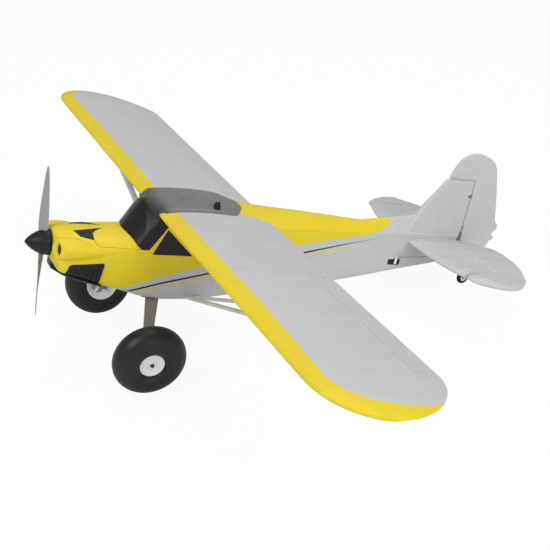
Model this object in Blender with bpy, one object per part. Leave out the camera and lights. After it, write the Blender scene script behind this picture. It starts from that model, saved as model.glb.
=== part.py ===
import math

import bmesh
import bpy
import numpy as np
from mathutils import Matrix, Vector

# Sizes are in millimetres in the airframe's own axes: X to port, Y aft, Z up,
# measured from the wing root's leading edge on the centre line.

# Wing
SPAN = 1500.0
CHORD = 235.5
CAMBER = 0.036
THICKNESS = 0.115
TRAILING_EDGE = 2.4
INCIDENCE = math.radians(1.5)
DIHEDRAL = 0.008
TIP_MAX_AT = 0.40
TIP_LEADING = 105.0
TIP_TRAILING = 117.0
AILERON_IN = 304.6
AILERON_OUT = 640.0
AILERON_HINGE = 182.0
AILERON_BEVEL = math.radians(33.0)
SPAR_RADIUS = 4.0
SPAR_HALF = 400.0
SPAR_AT = 62.0

# Fuselage stations: y, half width, top, shoulder, belly, belly corner radius, roof power
STATIONS = [
    (-173.0, 28.5, -50.0, -76.0, -104.5, 27.0, 2.0),
    (-170.5, 34.0, -48.8, -74.0, -111.0, 29.0, 2.1),
    (-166.0, 39.5, -47.8, -72.5, -119.5, 26.0, 2.1),
    (-159.0, 43.5, -47.0, -72.0, -125.0, 22.0, 2.1),
    (-145.0, 46.8, -46.0, -72.0, -129.5, 19.0, 2.1),
    (-102.0, 52.5, -44.0, -70.0, -138.0, 17.0, 2.1),
    (-46.0, 57.4, -42.0, -68.0, -147.7, 14.0, 2.1),
    (-40.0, 58.0, -31.6, -67.0, -149.0, 13.0, 1.3),
    (-34.0, 58.5, -21.0, -66.0, -150.2, 12.0, 1.2),
    (-24.0, 59.0, -3.8, -64.0, -153.0, 11.5, 1.45),
    (-13.0, 59.5, 16.0, -62.0, -155.8, 11.0, 1.85),
    (-2.0, 59.8, 18.0, -46.0, -158.0, 11.0, 2.6),
    (6.0, 60.0, 19.5, -20.0, -159.3, 11.0, 2.8),
    (40.0, 60.0, 21.0, 9.0, -163.0, 11.0, 3.0),
    (100.0, 60.0, 21.0, 9.0, -162.0, 11.0, 3.0),
    (150.0, 58.5, 17.0, 5.0, -156.0, 11.0, 2.6),
    (193.0, 57.0, 12.0, -3.0, -151.0, 11.0, 2.0),
    (232.0, 54.0, 10.5, -9.0, -147.0, 11.0, 1.5),
    (316.0, 45.0, 7.0, -14.0, -138.5, 10.0, 1.4),
    (400.0, 35.5, 1.0, -19.0, -129.5, 9.0, 1.4),
    (449.0, 30.0, -3.0, -21.0, -123.5, 8.0, 1.4),
    (540.0, 21.5, -8.0, -23.0, -109.0, 7.0, 1.5),
    (638.0, 13.5, -14.0, -25.0, -93.0, 5.0, 1.6),
    (716.5, 8.0, -17.0, -26.0, -80.0, 3.0, 1.7),
]
GAP = 0.3
FOAM_WALL = 7.0
CABIN_FRONT = -104.0
CABIN_REAR = 222.0
COVER_FLOOR = 12.5
COVER_FRONT = -12.0
COVER_REAR = 178.5
COVER_HALF = 68.0

# Tail
HINGE_Y = 690.0
STAB_Z = -40.0
STAB_THICK = 16.0
ELEVATOR_IN = 13.0
ELEVATOR_OUT = 188.4
RUDDER_Y = 721.0
FIN_THICK = 8.0
FIN_CUT = 97.5

# Landing gear
WHEEL_X = 165.0
WHEEL_Y = -12.0
WHEEL_Z = -228.5
WHEEL_RADIUS = 67.9
WHEEL_CAMBER = math.radians(8.0)
HUB_RADIUS = 22.7
TAIL_WHEEL_Y = 760.4
TAIL_WHEEL_Z = -126.7
TAIL_WHEEL_RADIUS = 14.0
GEAR_THICK = 3.0

# Power
THRUST_Z = -77.8
SPINNER_BASE = -173.6
SPINNER_TIP = -218.2
SPINNER_RADIUS = 23.4
PROP_Y = -186.7
PROP_RADIUS = 136.0
PROP_TURN = math.radians(-10.6)
BORE_RADIUS = 21.0

SEGMENTS = 32


def clear_scene():
    for ob in list(bpy.data.objects):
        bpy.data.objects.remove(ob, do_unlink=True)


def collection(name):
    group = bpy.data.collections.new(name)
    bpy.context.scene.collection.children.link(group)
    return group


def paint(name, colour, roughness, metallic=0.0):
    material = bpy.data.materials.new(name)
    material.use_nodes = True
    shader = material.node_tree.nodes["Principled BSDF"]
    shader.inputs["Base Color"].default_value = (*colour, 1.0)
    shader.inputs["Roughness"].default_value = roughness
    shader.inputs["Metallic"].default_value = metallic
    material.diffuse_color = (*colour, 1.0)
    return material


def solid(name, points, faces, material, pivot=(0.0, 0.0, 0.0), group=None):
    points = (np.asarray(points, float) - np.asarray(pivot, float)) * 0.001
    mesh = bpy.data.meshes.new(name)
    mesh.from_pydata(points.tolist(), [], faces)
    work = bmesh.new()
    work.from_mesh(mesh)
    bmesh.ops.recalc_face_normals(work, faces=work.faces[:])
    work.to_mesh(mesh)
    work.free()
    ob = bpy.data.objects.new(name, mesh)
    ob.location = Vector(pivot) * 0.001
    ob.parent = airframe
    if material is not None:
        mesh.materials.append(material)
    (group or parts).objects.link(ob)
    if group is cutters:
        ob.hide_render = True
        ob.display_type = 'WIRE'
    return ob


# Closed skin through a row of rings, with flat caps
def loft(name, rings, material, pivot=(0.0, 0.0, 0.0), group=None):
    count = len(rings[0])
    faces = []
    for i in range(len(rings) - 1):
        for j in range(count):
            k = (j + 1) % count
            faces.append((i * count + j, i * count + k, (i + 1) * count + k, (i + 1) * count + j))
    last = (len(rings) - 1) * count
    faces.append(tuple(range(count)))
    faces.append(tuple(last + j for j in range(count)))
    return solid(name, np.concatenate(rings), faces, material, pivot, group)


# Split bent faces into flat ones, so that cuts stay exact
def flatten(ob):
    work = bmesh.new()
    work.from_mesh(ob.data)
    bmesh.ops.triangulate(work, faces=work.faces[:])
    work.to_mesh(ob.data)
    work.free()


# Outline in two axes, drawn out along the third
def slab(name, outline, axis, low, high, material, pivot=(0.0, 0.0, 0.0), group=None):
    flat = np.asarray(outline, float)
    rings = []
    for level in (low, high):
        rings.append(np.insert(flat, axis, level, axis=1))
    return loft(name, rings, material, pivot, group)


def box(name, low, high, material, pivot=(0.0, 0.0, 0.0), group=None):
    outline = [(low[0], low[1]), (high[0], low[1]), (high[0], high[1]), (low[0], high[1])]
    return slab(name, outline, 2, low[2], high[2], material, pivot, group)


def circle(radius, count=SEGMENTS):
    turn = np.arange(count) * 2.0 * math.pi / count
    return np.stack([radius * np.cos(turn), radius * np.sin(turn)], axis=1)


# Two unit vectors square to a direction
def across(direction):
    along = Vector(direction).normalized()
    side = along.cross(Vector((0.0, 0.0, 1.0)))
    if side.length < 0.2:
        side = along.cross(Vector((0.0, 1.0, 0.0)))
    side.normalize()
    return np.array(along), np.array(side), np.array(side.cross(along))


# Solid of revolution: profile rows are (distance along, radius)
def turned(name, profile, centre, direction, material, pivot=None, group=None, count=SEGMENTS):
    along, side, up = across(direction)
    rings = []
    for step, radius in profile:
        ring = circle(radius, count)
        rings.append(np.asarray(centre) + along * step + ring[:, :1] * side + ring[:, 1:] * up)
    return loft(name, rings, material, centre if pivot is None else pivot, group)


# Ring of revolution: a closed profile of (distance along, radius) swept right round
def ring_body(name, profile, centre, direction, material, count=SEGMENTS):
    along, side, up = across(direction)
    points = []
    faces = []
    size = len(profile)
    for i in range(count):
        turn = 2.0 * math.pi * i / count
        out = side * math.cos(turn) + up * math.sin(turn)
        for step, radius in profile:
            points.append(np.asarray(centre) + along * step + out * radius)
        for j in range(size):
            k = (j + 1) % size
            n = (i + 1) % count
            faces.append((i * size + j, i * size + k, n * size + k, n * size + j))
    return solid(name, points, faces, material, centre)


def rod(name, start, end, radius, material, group=None, count=12, pivot=None):
    start = np.asarray(start, float)
    end = np.asarray(end, float)
    length = float(np.linalg.norm(end - start))
    return turned(name, [(0.0, radius), (length, radius)], start, end - start, material, pivot, group, count)


def combine(ob, other, operation):
    step = ob.modifiers.new(operation.lower() + " " + other.name, 'BOOLEAN')
    step.operation = operation
    step.solver = 'EXACT'
    step.object = other


def cut(ob, *others):
    for other in others:
        combine(ob, other, 'DIFFERENCE')


# One fuselage section, as a full ring; grow moves the skin out or in
def section(y, half, top, shoulder, belly, corner, power, grow):
    half = half + grow
    top = top + grow
    belly = belly - grow
    corner = max(corner + grow, 1.0)
    low = [(0.0, belly), (0.5 * (half - corner), belly)]
    for turn in np.linspace(-math.pi / 2.0, 0.0, 5):
        low.append((half - corner + corner * math.cos(turn), belly + corner + corner * math.sin(turn)))
    base = belly + corner
    low.append((half, base + 0.45 * (shoulder - base)))
    low.append((half, base + 0.85 * (shoulder - base)))
    for turn in np.linspace(0.0, math.pi / 2.0, 9):
        x = half * max(math.cos(turn), 0.0) ** (2.0 / power)
        z = shoulder + (top - shoulder) * math.sin(turn) ** (2.0 / power)
        low.append((x, z))
    right = [(-x, z) for x, z in low[-2:0:-1]]
    ring = np.array(low + right)
    return np.insert(ring, 1, y, axis=1)


def hull(name, grow, front, rear, material=None, group=None):
    table = np.array(STATIONS)
    marks = table[:, 0]
    inside = marks[(marks > front + 1.0) & (marks < rear - 1.0)]
    rings = []
    for y in [front, *inside, rear]:
        row = [float(np.interp(y, marks, table[:, i])) for i in range(1, 7)]
        rings.append(section(y, *row, grow))
    ob = loft(name, rings, material, group=group or cutters)
    flatten(ob)
    return ob


# Wing section height above the chord line, as a share of the chord
def wing_z(share, upper):
    half = 5.0 * THICKNESS * (0.2969 * np.sqrt(share) - 0.126 * share - 0.3516 * share ** 2
                              + 0.2843 * share ** 3 - 0.1015 * share ** 4)
    half = half + 0.5 * TRAILING_EDGE / CHORD * share
    middle = 4.0 * CAMBER * share * (1.0 - share)
    return middle + half if upper else middle - half


# Height of the wing's skin at a place on the wing
def wing_skin(x, y, upper):
    share = np.clip(y / CHORD, 0.0, 1.0)
    height = CHORD * wing_z(share, upper) - y * math.sin(INCIDENCE)
    return float(height + DIHEDRAL * abs(x))


# Leading and trailing edge of the wing at a distance from the centre line
def wing_edges(x):
    middle = TIP_MAX_AT * CHORD
    front = np.clip((x - (SPAN / 2.0 - TIP_LEADING)) / TIP_LEADING, 0.0, 1.0)
    rear = np.clip((x - (SPAN / 2.0 - TIP_TRAILING)) / TIP_TRAILING, 0.0, 1.0)
    leading = middle - middle * math.sqrt(max(1.0 - front ** 2, 0.0))
    trailing = middle + (CHORD - middle) * max(1.0 - rear ** 1.8, 0.0) ** (1.0 / 1.8)
    return leading, trailing


def wing_ring(x, side):
    leading, trailing = wing_edges(x)
    chord = trailing - leading
    share = 0.5 - 0.5 * np.cos(np.linspace(0.0, math.pi, 15))
    upper = wing_z(share, True)
    lower = wing_z(share, False)[1:-1]
    place = np.concatenate([share[::-1], share[1:-1], [1.0]])
    height = np.concatenate([upper[::-1], lower, [wing_z(np.array(1.0), False)]])
    fullness = (chord / CHORD) ** 0.75 * CHORD
    y = leading + place * chord
    z = height * fullness - y * math.sin(INCIDENCE) + DIHEDRAL * x
    return np.stack([np.full(len(y), side * x), y, z], axis=1)


def wing_body(name, side, material, group=None):
    tip = SPAN / 2.0
    places = [38.0, 170.0, AILERON_IN, 470.0, tip - TIP_TRAILING]
    places += [tip - TIP_TRAILING * math.cos(a) for a in np.radians([22, 38, 50, 61, 70, 78, 84, 88, 89.7])]
    return loft(name, [wing_ring(x, side) for x in places], material, group=group)


clear_scene()
parts = collection("rc foam airplane")
cutters = collection("cutters")
airframe = bpy.data.objects.new("airframe", None)
parts.objects.link(airframe)

yellow = paint("yellow foam", (0.76, 0.60, 0.03), 0.55)
grey = paint("grey foam", (0.52, 0.53, 0.53), 0.6)
black = paint("black plastic", (0.02, 0.02, 0.022), 0.5)
smoke = paint("dark cover", (0.05, 0.05, 0.055), 0.4)
metal = paint("gear metal", (0.32, 0.31, 0.29), 0.4, 0.8)
steel = paint("steel wire", (0.5, 0.5, 0.5), 0.3, 1.0)
carbon = paint("carbon tube", (0.03, 0.03, 0.03), 0.35)
rubber = paint("tyre rubber", (0.022, 0.022, 0.024), 0.8)
white = paint("white plastic", (0.75, 0.75, 0.78), 0.4)
strut_grey = paint("strut plastic", (0.5, 0.5, 0.48), 0.45)
propgrey = paint("propeller plastic", (0.33, 0.33, 0.3), 0.45)
wrap = paint("battery wrap", (0.03, 0.06, 0.2), 0.4)
board = paint("receiver case", (0.04, 0.04, 0.045), 0.5)

# Outlines in side view: y, z
SCREEN_FOOT = [(-20.5, -62.0), (-27.5, -55.8), (-33.4, -50.2), (-40.3, -43.6), (-46.0, -41.5)]
HATCH = [(-106.0, 0.0), (-105.3, -47.0), (-104.3, -55.4), (-99.5, -62.0)] + SCREEN_FOOT + [(-46.0, 0.0)]
SCREEN = [(-46.0, 40.0)] + SCREEN_FOOT[::-1] + [(COVER_FRONT - 0.3, -62.0), (COVER_FRONT - 0.3, 40.0)]
WINDOW = [(0.5, -70.0), (22.8, -20.5), (79.5, -71.0)]
CHIN = [(-190.0, -97.0), (-173.0, -99.2), (-168.0, -112.0), (-159.5, -117.0), (-147.0, -120.0), (-84.0, -138.0),
        (-84.0, -175.0), (-190.0, -175.0)]
LOUVRE = [(-144.5, -101.0), (-83.0, -94.5), (-84.6, -134.5), (-146.0, -117.0)]
# Nose vents in plan: x, y
VENT = [(17.2, -138.3), (13.5, -108.5), (26.0, -110.5), (41.5, -108.0), (36.2, -127.4)]


# Outline moved out by a gap, about its own corners
def widen(outline, gap):
    points = np.asarray(outline, float)
    back = points - np.roll(points, 1, axis=0)
    fore = np.roll(points, -1, axis=0) - points
    back = back / np.linalg.norm(back, axis=1)[:, None]
    fore = fore / np.linalg.norm(fore, axis=1)[:, None]
    turn = np.sum(points[:, 0] * np.roll(points[:, 1], -1) - np.roll(points[:, 0], -1) * points[:, 1])
    sign = 1.0 if turn > 0.0 else -1.0
    out_back = np.stack([back[:, 1], -back[:, 0]], axis=1) * sign
    out_fore = np.stack([fore[:, 1], -fore[:, 0]], axis=1) * sign
    mean = out_back + out_fore
    scale = np.sum(mean * out_back, axis=1)
    return points + gap * mean / scale[:, None]


# Shared cutting bodies
FRONT = STATIONS[0][0]
REAR = STATIONS[-1][0]
skin_full = hull("skin full", 0.0, FRONT, REAR)
skin_out = hull("skin out", GAP, FRONT - 1.0, REAR)
skin_proud = hull("skin proud", 1.0, FRONT, REAR)
skin_in_2 = hull("skin in 2", -2.2, FRONT + 1.0, REAR - 20.0)
skin_in_3 = hull("skin in 3", -2.5 - GAP, FRONT + 1.0, REAR - 20.0)
skin_screen = hull("skin screen", -3.0, FRONT + 4.0, 60.0)
cabin = hull("cabin space", -FOAM_WALL, CABIN_FRONT, CABIN_REAR)
CANOPY = [(-106.0, 40.0), *HATCH[1:4], (COVER_FRONT - 0.3, -62.0), (COVER_FRONT - 0.3, 40.0)]
canopy_cut = slab("canopy cut", widen(CANOPY, GAP / 2.0), 0, -90.0, 90.0, None, group=cutters)
hatch_keep = slab("hatch keep", widen(HATCH, -GAP / 2.0), 0, -90.0, 90.0, None, group=cutters)
screen_keep = slab("screen keep", widen(SCREEN, -GAP / 2.0), 0, -90.0, 90.0, None, group=cutters)
chin_cut = slab("chin cut", widen(CHIN, GAP), 0, -90.0, 90.0, None, group=cutters)
chin_keep = slab("chin keep", CHIN, 0, -90.0, 90.0, None, group=cutters)
roof_cut = box("roof cut", (-90.0, COVER_FRONT - GAP, COVER_FLOOR - GAP), (90.0, COVER_REAR + 1.0, 60.0), None,
               group=cutters)
roof_open = box("roof opening", (-47.0, -30.0, -12.0), (47.0, 160.0, 61.0), None, group=cutters)
motor_bore = turned("motor bore", [(0.0, BORE_RADIUS), (72.0, BORE_RADIUS)],
                    (0.0, -180.0, THRUST_Z), (0.0, 1.0, 0.0), None, group=cutters)
stab_slot = box("stab slot", (-40.0, HINGE_Y - 118.0, STAB_Z - STAB_THICK / 2.0 - GAP),
                (40.0, HINGE_Y + 40.0, STAB_Z + STAB_THICK / 2.0 + GAP), None, group=cutters)
GEAR_TOP = -156.8
GEAR_FRONT = 2.0
GEAR_BACK = 40.0
GEAR_HALF = 44.0
gear_pocket = box("gear pocket", (-GEAR_HALF - GAP, GEAR_FRONT - GAP, -190.0),
                  (GEAR_HALF + GAP, GEAR_BACK + GAP, GEAR_TOP), None, group=cutters)
SPAR_Z = 0.5 * (wing_skin(0.0, SPAR_AT, True) + wing_skin(0.0, SPAR_AT, False))
spar_hole = rod("spar hole", (-SPAR_HALF - 1.0, SPAR_AT, SPAR_Z), (SPAR_HALF + 1.0, SPAR_AT, SPAR_Z),
                SPAR_RADIUS + GAP, None, group=cutters, count=16)

# Fin and its slot between the fuselage halves
FIN = [(462.0, -13.0), (462.0, -3.0), (529.0, 6.0), (588.0, 14.0), (611.0, 47.0), (645.5, FIN_CUT),
       (RUDDER_Y - FIN_THICK / 2.0 - 0.5, FIN_CUT), (RUDDER_Y - FIN_THICK / 2.0 - 0.5, -24.0), (560.0, -24.0)]
fin_slot = slab("fin slot", widen(FIN, GAP), 0, -FIN_THICK / 2.0 - GAP, FIN_THICK / 2.0 + GAP, None, group=cutters)
fin = slab("fin", FIN, 0, -FIN_THICK / 2.0, FIN_THICK / 2.0, grey)

# Fuselage halves, with the cylinder cheeks on the nose
SERVO = (23.0, 16.0, 12.0)
ELEVATOR_SERVO_Y = 549.0
ELEVATOR_SERVO_Z = -86.0
RUDDER_SERVO_Y = 575.0
RUDDER_SERVO_Z = -81.0
CHEEK_X = 40.0
CHEEK_Z = -73.0
CHEEK = [(-171.0, 13.0, 16.0), (-168.0, 16.5, 18.5), (-160.0, 18.5, 20.5), (-140.0, 20.0, 20.0),
         (-110.0, 18.0, 14.5), (-78.0, 14.0, 6.0)]
INTAKE = (47.0, -72.0, 4.5, 10.0)


def side_name(side):
    return "left" if side > 0 else "right"


servo_boxes = {}
for side in (1, -1):
    tag = side_name(side)
    body = hull("fuselage_" + tag, 0.0, FRONT, REAR, yellow, parts)
    cheek_rings = []
    for y, out, tall in CHEEK:
        ring = circle(1.0, 20)
        cheek_rings.append(np.stack([side * (CHEEK_X + out * ring[:, 0]), np.full(20, y),
                                     CHEEK_Z + tall * ring[:, 1]], axis=1))
    cheek = loft("cheek " + tag, cheek_rings, None, group=cutters)
    combine(body, cheek, 'UNION')
    other = box("other half " + tag, (-120.0 if side > 0 else -GAP / 2.0, -300.0, -300.0),
                (GAP / 2.0 if side > 0 else 120.0, 900.0, 200.0), None, group=cutters)
    ring = circle(1.0, 16)
    intake_rings = [np.stack([side * (INTAKE[0] + INTAKE[2] * ring[:, 0]), np.full(16, y),
                              INTAKE[1] + INTAKE[3] * ring[:, 1]], axis=1) for y in (-182.0, -150.0)]
    intake = loft("intake " + tag, intake_rings, None, group=cutters)
    low, high = (28.0, 70.0) if side > 0 else (-70.0, -28.0)
    louvre_cut = slab("louvre cut " + tag, widen(LOUVRE, GAP), 0, low, high, None, group=cutters)
    cut(louvre_cut, skin_in_3)
    window_cut = slab("window cut " + tag, widen(WINDOW, GAP), 0, low, high, None, group=cutters)
    cut(window_cut, skin_in_3)
    vent_outline = [(side * x, y) for x, y in VENT]
    vent_cut = slab("vent cut " + tag, vent_outline, 2, -75.0, -30.0, None, group=cutters)
    cut(vent_cut, skin_in_3)
    servo_y = ELEVATOR_SERVO_Y if side > 0 else RUDDER_SERVO_Y
    servo_z = ELEVATOR_SERVO_Z if side > 0 else RUDDER_SERVO_Z
    skin_x = float(np.interp(servo_y, [s[0] for s in STATIONS], [s[1] for s in STATIONS]))
    inner = skin_x - SERVO[1] + 1.0
    near, far = sorted((side * inner, side * (inner + SERVO[1])))
    low = (near, servo_y - SERVO[0] / 2.0, servo_z - SERVO[2] / 2.0)
    high = (far, servo_y + SERVO[0] / 2.0, servo_z + SERVO[2] / 2.0)
    servo_boxes[side] = (low, high)
    near, far = sorted((side * (inner - GAP), side * (inner + 60.0)))
    servo_cut = box("servo cut " + tag, (near, low[1] - GAP, low[2] - GAP), (far, high[1] + GAP, high[2] + GAP), None,
                    group=cutters)
    cut(body, other, cabin, roof_open, roof_cut, canopy_cut, chin_cut, motor_bore, louvre_cut, window_cut,
        vent_cut, intake, gear_pocket, spar_hole, stab_slot, fin_slot, servo_cut)
    panel = slab("louvre_" + tag, LOUVRE, 0, 28.0 if side > 0 else -60.0, 60.0 if side > 0 else -28.0, black)
    combine(panel, skin_proud, 'INTERSECT')
    cut(panel, skin_in_2)
    slots = []
    faces = []
    for i in range(7):
        y = -139.0 + i * 7.6
        base = len(slots)
        for x in (30.0, 70.0):
            for dy, z in ((0.0, -102.5), (3.2, -102.0), (3.2, -115.0 - 1.9 * i), (0.0, -114.0 - 1.9 * i)):
                slots.append((side * x, y + dy, z))
        for quad in ((0, 1, 2, 3), (7, 6, 5, 4), (0, 4, 5, 1), (1, 5, 6, 2), (2, 6, 7, 3), (3, 7, 4, 0)):
            faces.append(tuple(base + v for v in quad))
    slot_cut = solid("louvre slots " + tag, slots, faces, None, group=cutters)
    skin_slot = hull("slot floor " + tag, -1.0, FRONT + 1.0, REAR - 20.0)
    cut(slot_cut, skin_slot)
    cut(panel, slot_cut)
    pane = slab("window_" + tag, WINDOW, 0, 30.0 if side > 0 else -70.0, 70.0 if side > 0 else -30.0, black)
    combine(pane, skin_full, 'INTERSECT')
    cut(pane, skin_in_2)

# Lift-off hatch, windscreen and chin, cut from the same skin
hatch = hull("battery_hatch", 0.0, FRONT, 40.0, yellow, parts)
combine(hatch, hatch_keep, 'INTERSECT')
cut(hatch, cabin)
screen = hull("windscreen", 0.0, FRONT, 80.0, black, parts)
combine(screen, screen_keep, 'INTERSECT')
cut(screen, skin_screen)
chin = hull("chin_cowl", 0.0, FRONT, 0.0, black, parts)
combine(chin, chin_keep, 'INTERSECT')
cut(chin, motor_bore)


# Domed cover over the wing's middle
def cover_body(name, grow, material, group=None):
    places = [(COVER_FRONT, 30.0, 17.5), (-4.0, 43.0, 20.0), (2.0, 56.0, 22.0), (8.0, 65.0, 23.0), (14.0, 68.0, 23.5),
              (40.0, 68.0, 25.5), (100.0, 68.0, 25.0), (140.0, 68.0, 21.5), (152.0, 66.0, 20.0), (165.0, 45.0, 18.0),
              (COVER_REAR, 24.0, 16.0)]
    rings = []
    for y, half, crest in places:
        half = half * COVER_HALF / 68.0 + grow
        edge = max(wing_skin(half, y, True) + 0.6, COVER_FLOOR + 1.5)
        crest = max(crest, edge + 0.3)
        share = np.linspace(-1.0, 1.0, 11)
        roof = edge + (crest - edge) * (1.0 - np.abs(share) ** 2.4) + grow
        x = np.concatenate([share * half, [half, -half]])
        z = np.concatenate([roof, [COVER_FLOOR - grow, COVER_FLOOR - grow]])
        y = y + (-grow if y == COVER_FRONT else grow if y == COVER_REAR else 0.0)
        rings.append(np.stack([x, np.full(13, y), z], axis=1))
    return loft(name, rings, material, group=group)


cover = cover_body("wing_cover", 0.0, smoke)
cover_cut = cover_body("cover cut", GAP, None, cutters)

# Wing panels, ailerons and the tube that joins them
AIL_SERVO_X = 470.0
AIL_SERVO_Y = 128.0
hinge_points = {}
servo_places = {}
for side in (1, -1):
    tag = side_name(side)
    wing = wing_body("wing_" + tag, side, grey)
    top = wing_skin(AILERON_IN, AILERON_HINGE, True)
    hinge_points[side] = (side * AILERON_IN, AILERON_HINGE, top)
    lean = math.tan(AILERON_BEVEL) * 60.0
    bay = []
    flap = []
    for x in (AILERON_IN, AILERON_OUT):
        z = wing_skin(x, AILERON_HINGE, True)
        ends = (0.8 if x == AILERON_IN else -0.8)
        bay.append(np.array([(side * x, AILERON_HINGE, z + 40.0), (side * x, AILERON_HINGE, z - 60.0),
                             (side * x, CHORD + 40.0, z - 60.0), (side * x, CHORD + 40.0, z + 40.0)]))
        flap.append(np.array([(side * (x + ends), AILERON_HINGE + 0.4, z + 40.0),
                              (side * (x + ends), AILERON_HINGE + 0.4, z),
                              (side * (x + ends), AILERON_HINGE + 0.4 + lean, z - 60.0),
                              (side * (x + ends), CHORD + 40.0, z - 60.0),
                              (side * (x + ends), CHORD + 40.0, z + 40.0)]))
    bay_cut = loft("aileron bay " + tag, bay, None, group=cutters)
    keep = loft("aileron keep " + tag, flap, None, group=cutters)
    floor = wing_skin(AIL_SERVO_X, AIL_SERVO_Y, False)
    low = (side * AIL_SERVO_X - 11.0, AIL_SERVO_Y - SERVO[0] / 2.0, floor + 0.5)
    high = (side * AIL_SERVO_X + 11.0, AIL_SERVO_Y + SERVO[0] / 2.0, floor + 11.5)
    servo_places[side] = (low, high)
    pocket = box("wing servo cut " + tag, (low[0] - GAP, low[1] - GAP, low[2] - 20.0), tuple(v + GAP for v in high),
                 None, group=cutters)
    cut(wing, skin_out, cover_cut, bay_cut, spar_hole, pocket)
    whole = wing_body("aileron_" + tag, side, grey)
    turn_at = hinge_points[side]
    whole.data.transform(Matrix.Translation(Vector(turn_at) * -0.001))
    whole.location = Vector(turn_at) * 0.001
    combine(whole, keep, 'INTERSECT')
rod("wing_spar", (-SPAR_HALF, SPAR_AT, SPAR_Z), (SPAR_HALF, SPAR_AT, SPAR_Z), SPAR_RADIUS, carbon, count=16)

# Tail surfaces: rows are distance out from the elevator's corner, front and back from the hinge line
STAB_EDGE = [(-157.4, -114.0), (-65.4, -106.0), (-14.4, -92.0), (-0.9, -86.0)]
FLAP_EDGE = [(-159.4, 62.0), (-146.4, 85.0), (-128.4, 94.0), (-77.4, 94.5), (-29.4, 81.0), (0.0, 66.5)]
TIP_EDGE = [(0.3, -78.0, 66.0), (10.6, -82.5, 60.5), (21.6, -79.0, 54.0), (36.6, -61.0, 39.5), (49.6, -40.0, 24.0),
            (56.1, -22.0, 13.0), (58.6, -11.0, 4.0)]
NOSE = STAB_THICK / 2.0
TAIL_EDGE = 1.5


# Tail section at a place along the span: a round nose, a flat middle and a taper to the back edge
def tail_ring(x, front, back, half, nose, edge):
    turn = np.radians([90, 120, 150, 180, 210, 240, 270])
    middle = front + nose
    flat = min(max(HINGE_Y + 4.0, middle + 2.0), back - 2.0)
    ring = [(flat, half)] + [(middle + nose * math.cos(a), half * math.sin(a)) for a in turn]
    ring += [(flat, -half), (back, -edge), (back, edge)]
    return np.array([(x, y, STAB_Z + z) for y, z in ring])


rear = HINGE_Y - NOSE - 0.5
stab_rings = [tail_ring(max(ELEVATOR_OUT + x, 10.0), HINGE_Y + y, rear, NOSE, 26.0, NOSE * 0.94) for x, y in STAB_EDGE]
stab_rings = [r * np.array([-1.0, 1.0, 1.0]) for r in reversed(stab_rings)] + stab_rings
loft("stabiliser", stab_rings, grey)

for side in (1, -1):
    tag = side_name(side)
    bend = NOSE - 0.02
    rings = [tail_ring(ELEVATOR_IN, HINGE_Y - bend, HINGE_Y + 12.0, bend, bend, TAIL_EDGE * 3.0)]
    for x, back in FLAP_EDGE:
        rings.append(tail_ring(max(ELEVATOR_OUT + x, ELEVATOR_IN + 5.0), HINGE_Y - bend, HINGE_Y + back, bend, bend,
                               TAIL_EDGE))
    for i, (x, front, back) in enumerate(TIP_EDGE):
        half = (bend, bend, bend, bend * 0.95, bend * 0.8, bend * 0.55, bend * 0.3)[i]
        nose = min(26.0, 0.4 * (back - front))
        rings.append(tail_ring(ELEVATOR_OUT + x, HINGE_Y + front, HINGE_Y + back, half, nose, TAIL_EDGE))
    loft("elevator_" + tag, [r * np.array([side, 1.0, 1.0]) for r in rings], grey, (side * ELEVATOR_IN, HINGE_Y, STAB_Z))
rod("elevator_joiner", (-ELEVATOR_IN + GAP, HINGE_Y, STAB_Z), (ELEVATOR_IN - GAP, HINGE_Y, STAB_Z), 2.0, steel)

RUDDER_EDGE = [(0.0, 1.0), (-73.0, 1.0), (-64.0, 24.5), (-53.0, 44.5), (-38.0, 55.5), (-16.0, 60.5), (14.0, 54.5),
               (34.0, 43.5), (45.0, 26.5), (55.0, -5.5), (66.0, -39.5), (80.0, -91.5), (89.5, -103.5),
               (82.5, -118.5), (67.0, -163.5), (0.0, -163.5)]
RUDDER = [(RUDDER_Y + y, FIN_CUT + z) for y, z in RUDDER_EDGE]
RUDDER_FOOT = FIN_CUT - 163.5
rudder_pivot = (0.0, RUDDER_Y, RUDDER_FOOT)
rudder = slab("rudder", RUDDER, 0, -FIN_THICK / 2.0, FIN_THICK / 2.0, grey, rudder_pivot)
rudder_nose = rod("rudder nose", (0.0, RUDDER_Y, RUDDER_FOOT), (0.0, RUDDER_Y, FIN_CUT + 1.0), FIN_THICK / 2.0 - 0.02, None,
                  group=cutters, count=24)
combine(rudder, rudder_nose, 'UNION')

# Struts: a flattened oval from the fuselage foot to the wing's underside
STRUT_ROOT_X = 60.0
STRUT_ROOT_Y = 93.0
STRUT_ROOT_Z = -150.0
STRUT_WIDE = 7.0
STRUT_THICK = 3.2
for side in (1, -1):
    tag = side_name(side)
    for end, x, y, shift in (("front", 452.0, 55.0, -8.5), ("rear", 415.0, 150.0, 8.5)):
        z = wing_skin(x, y, False) - GAP
        rings = []
        oval = circle(1.0, 16)
        foot = np.array([side * (STRUT_ROOT_X + GAP), STRUT_ROOT_Y + shift, STRUT_ROOT_Z])
        head = np.array([side * x, y, z])
        for place, flat in ((foot, 0), (head, 1)):
            wide = STRUT_WIDE * oval[:, 1]
            if flat:
                slope = (wing_skin(x, y + 8.0, False) - wing_skin(x, y - 8.0, False)) / 16.0
                spread = STRUT_THICK * 2.4 * oval[:, 0]
                ring = place + np.stack([spread, wide, slope * wide + DIHEDRAL * side * spread], axis=1)
            else:
                rise = STRUT_THICK * 1.2 * oval[:, 0]
                ring = place + np.stack([np.zeros(16), wide, -side * rise], axis=1)
            rings.append(ring)
        loft("strut_" + end + "_" + tag, rings, strut_grey)

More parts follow.
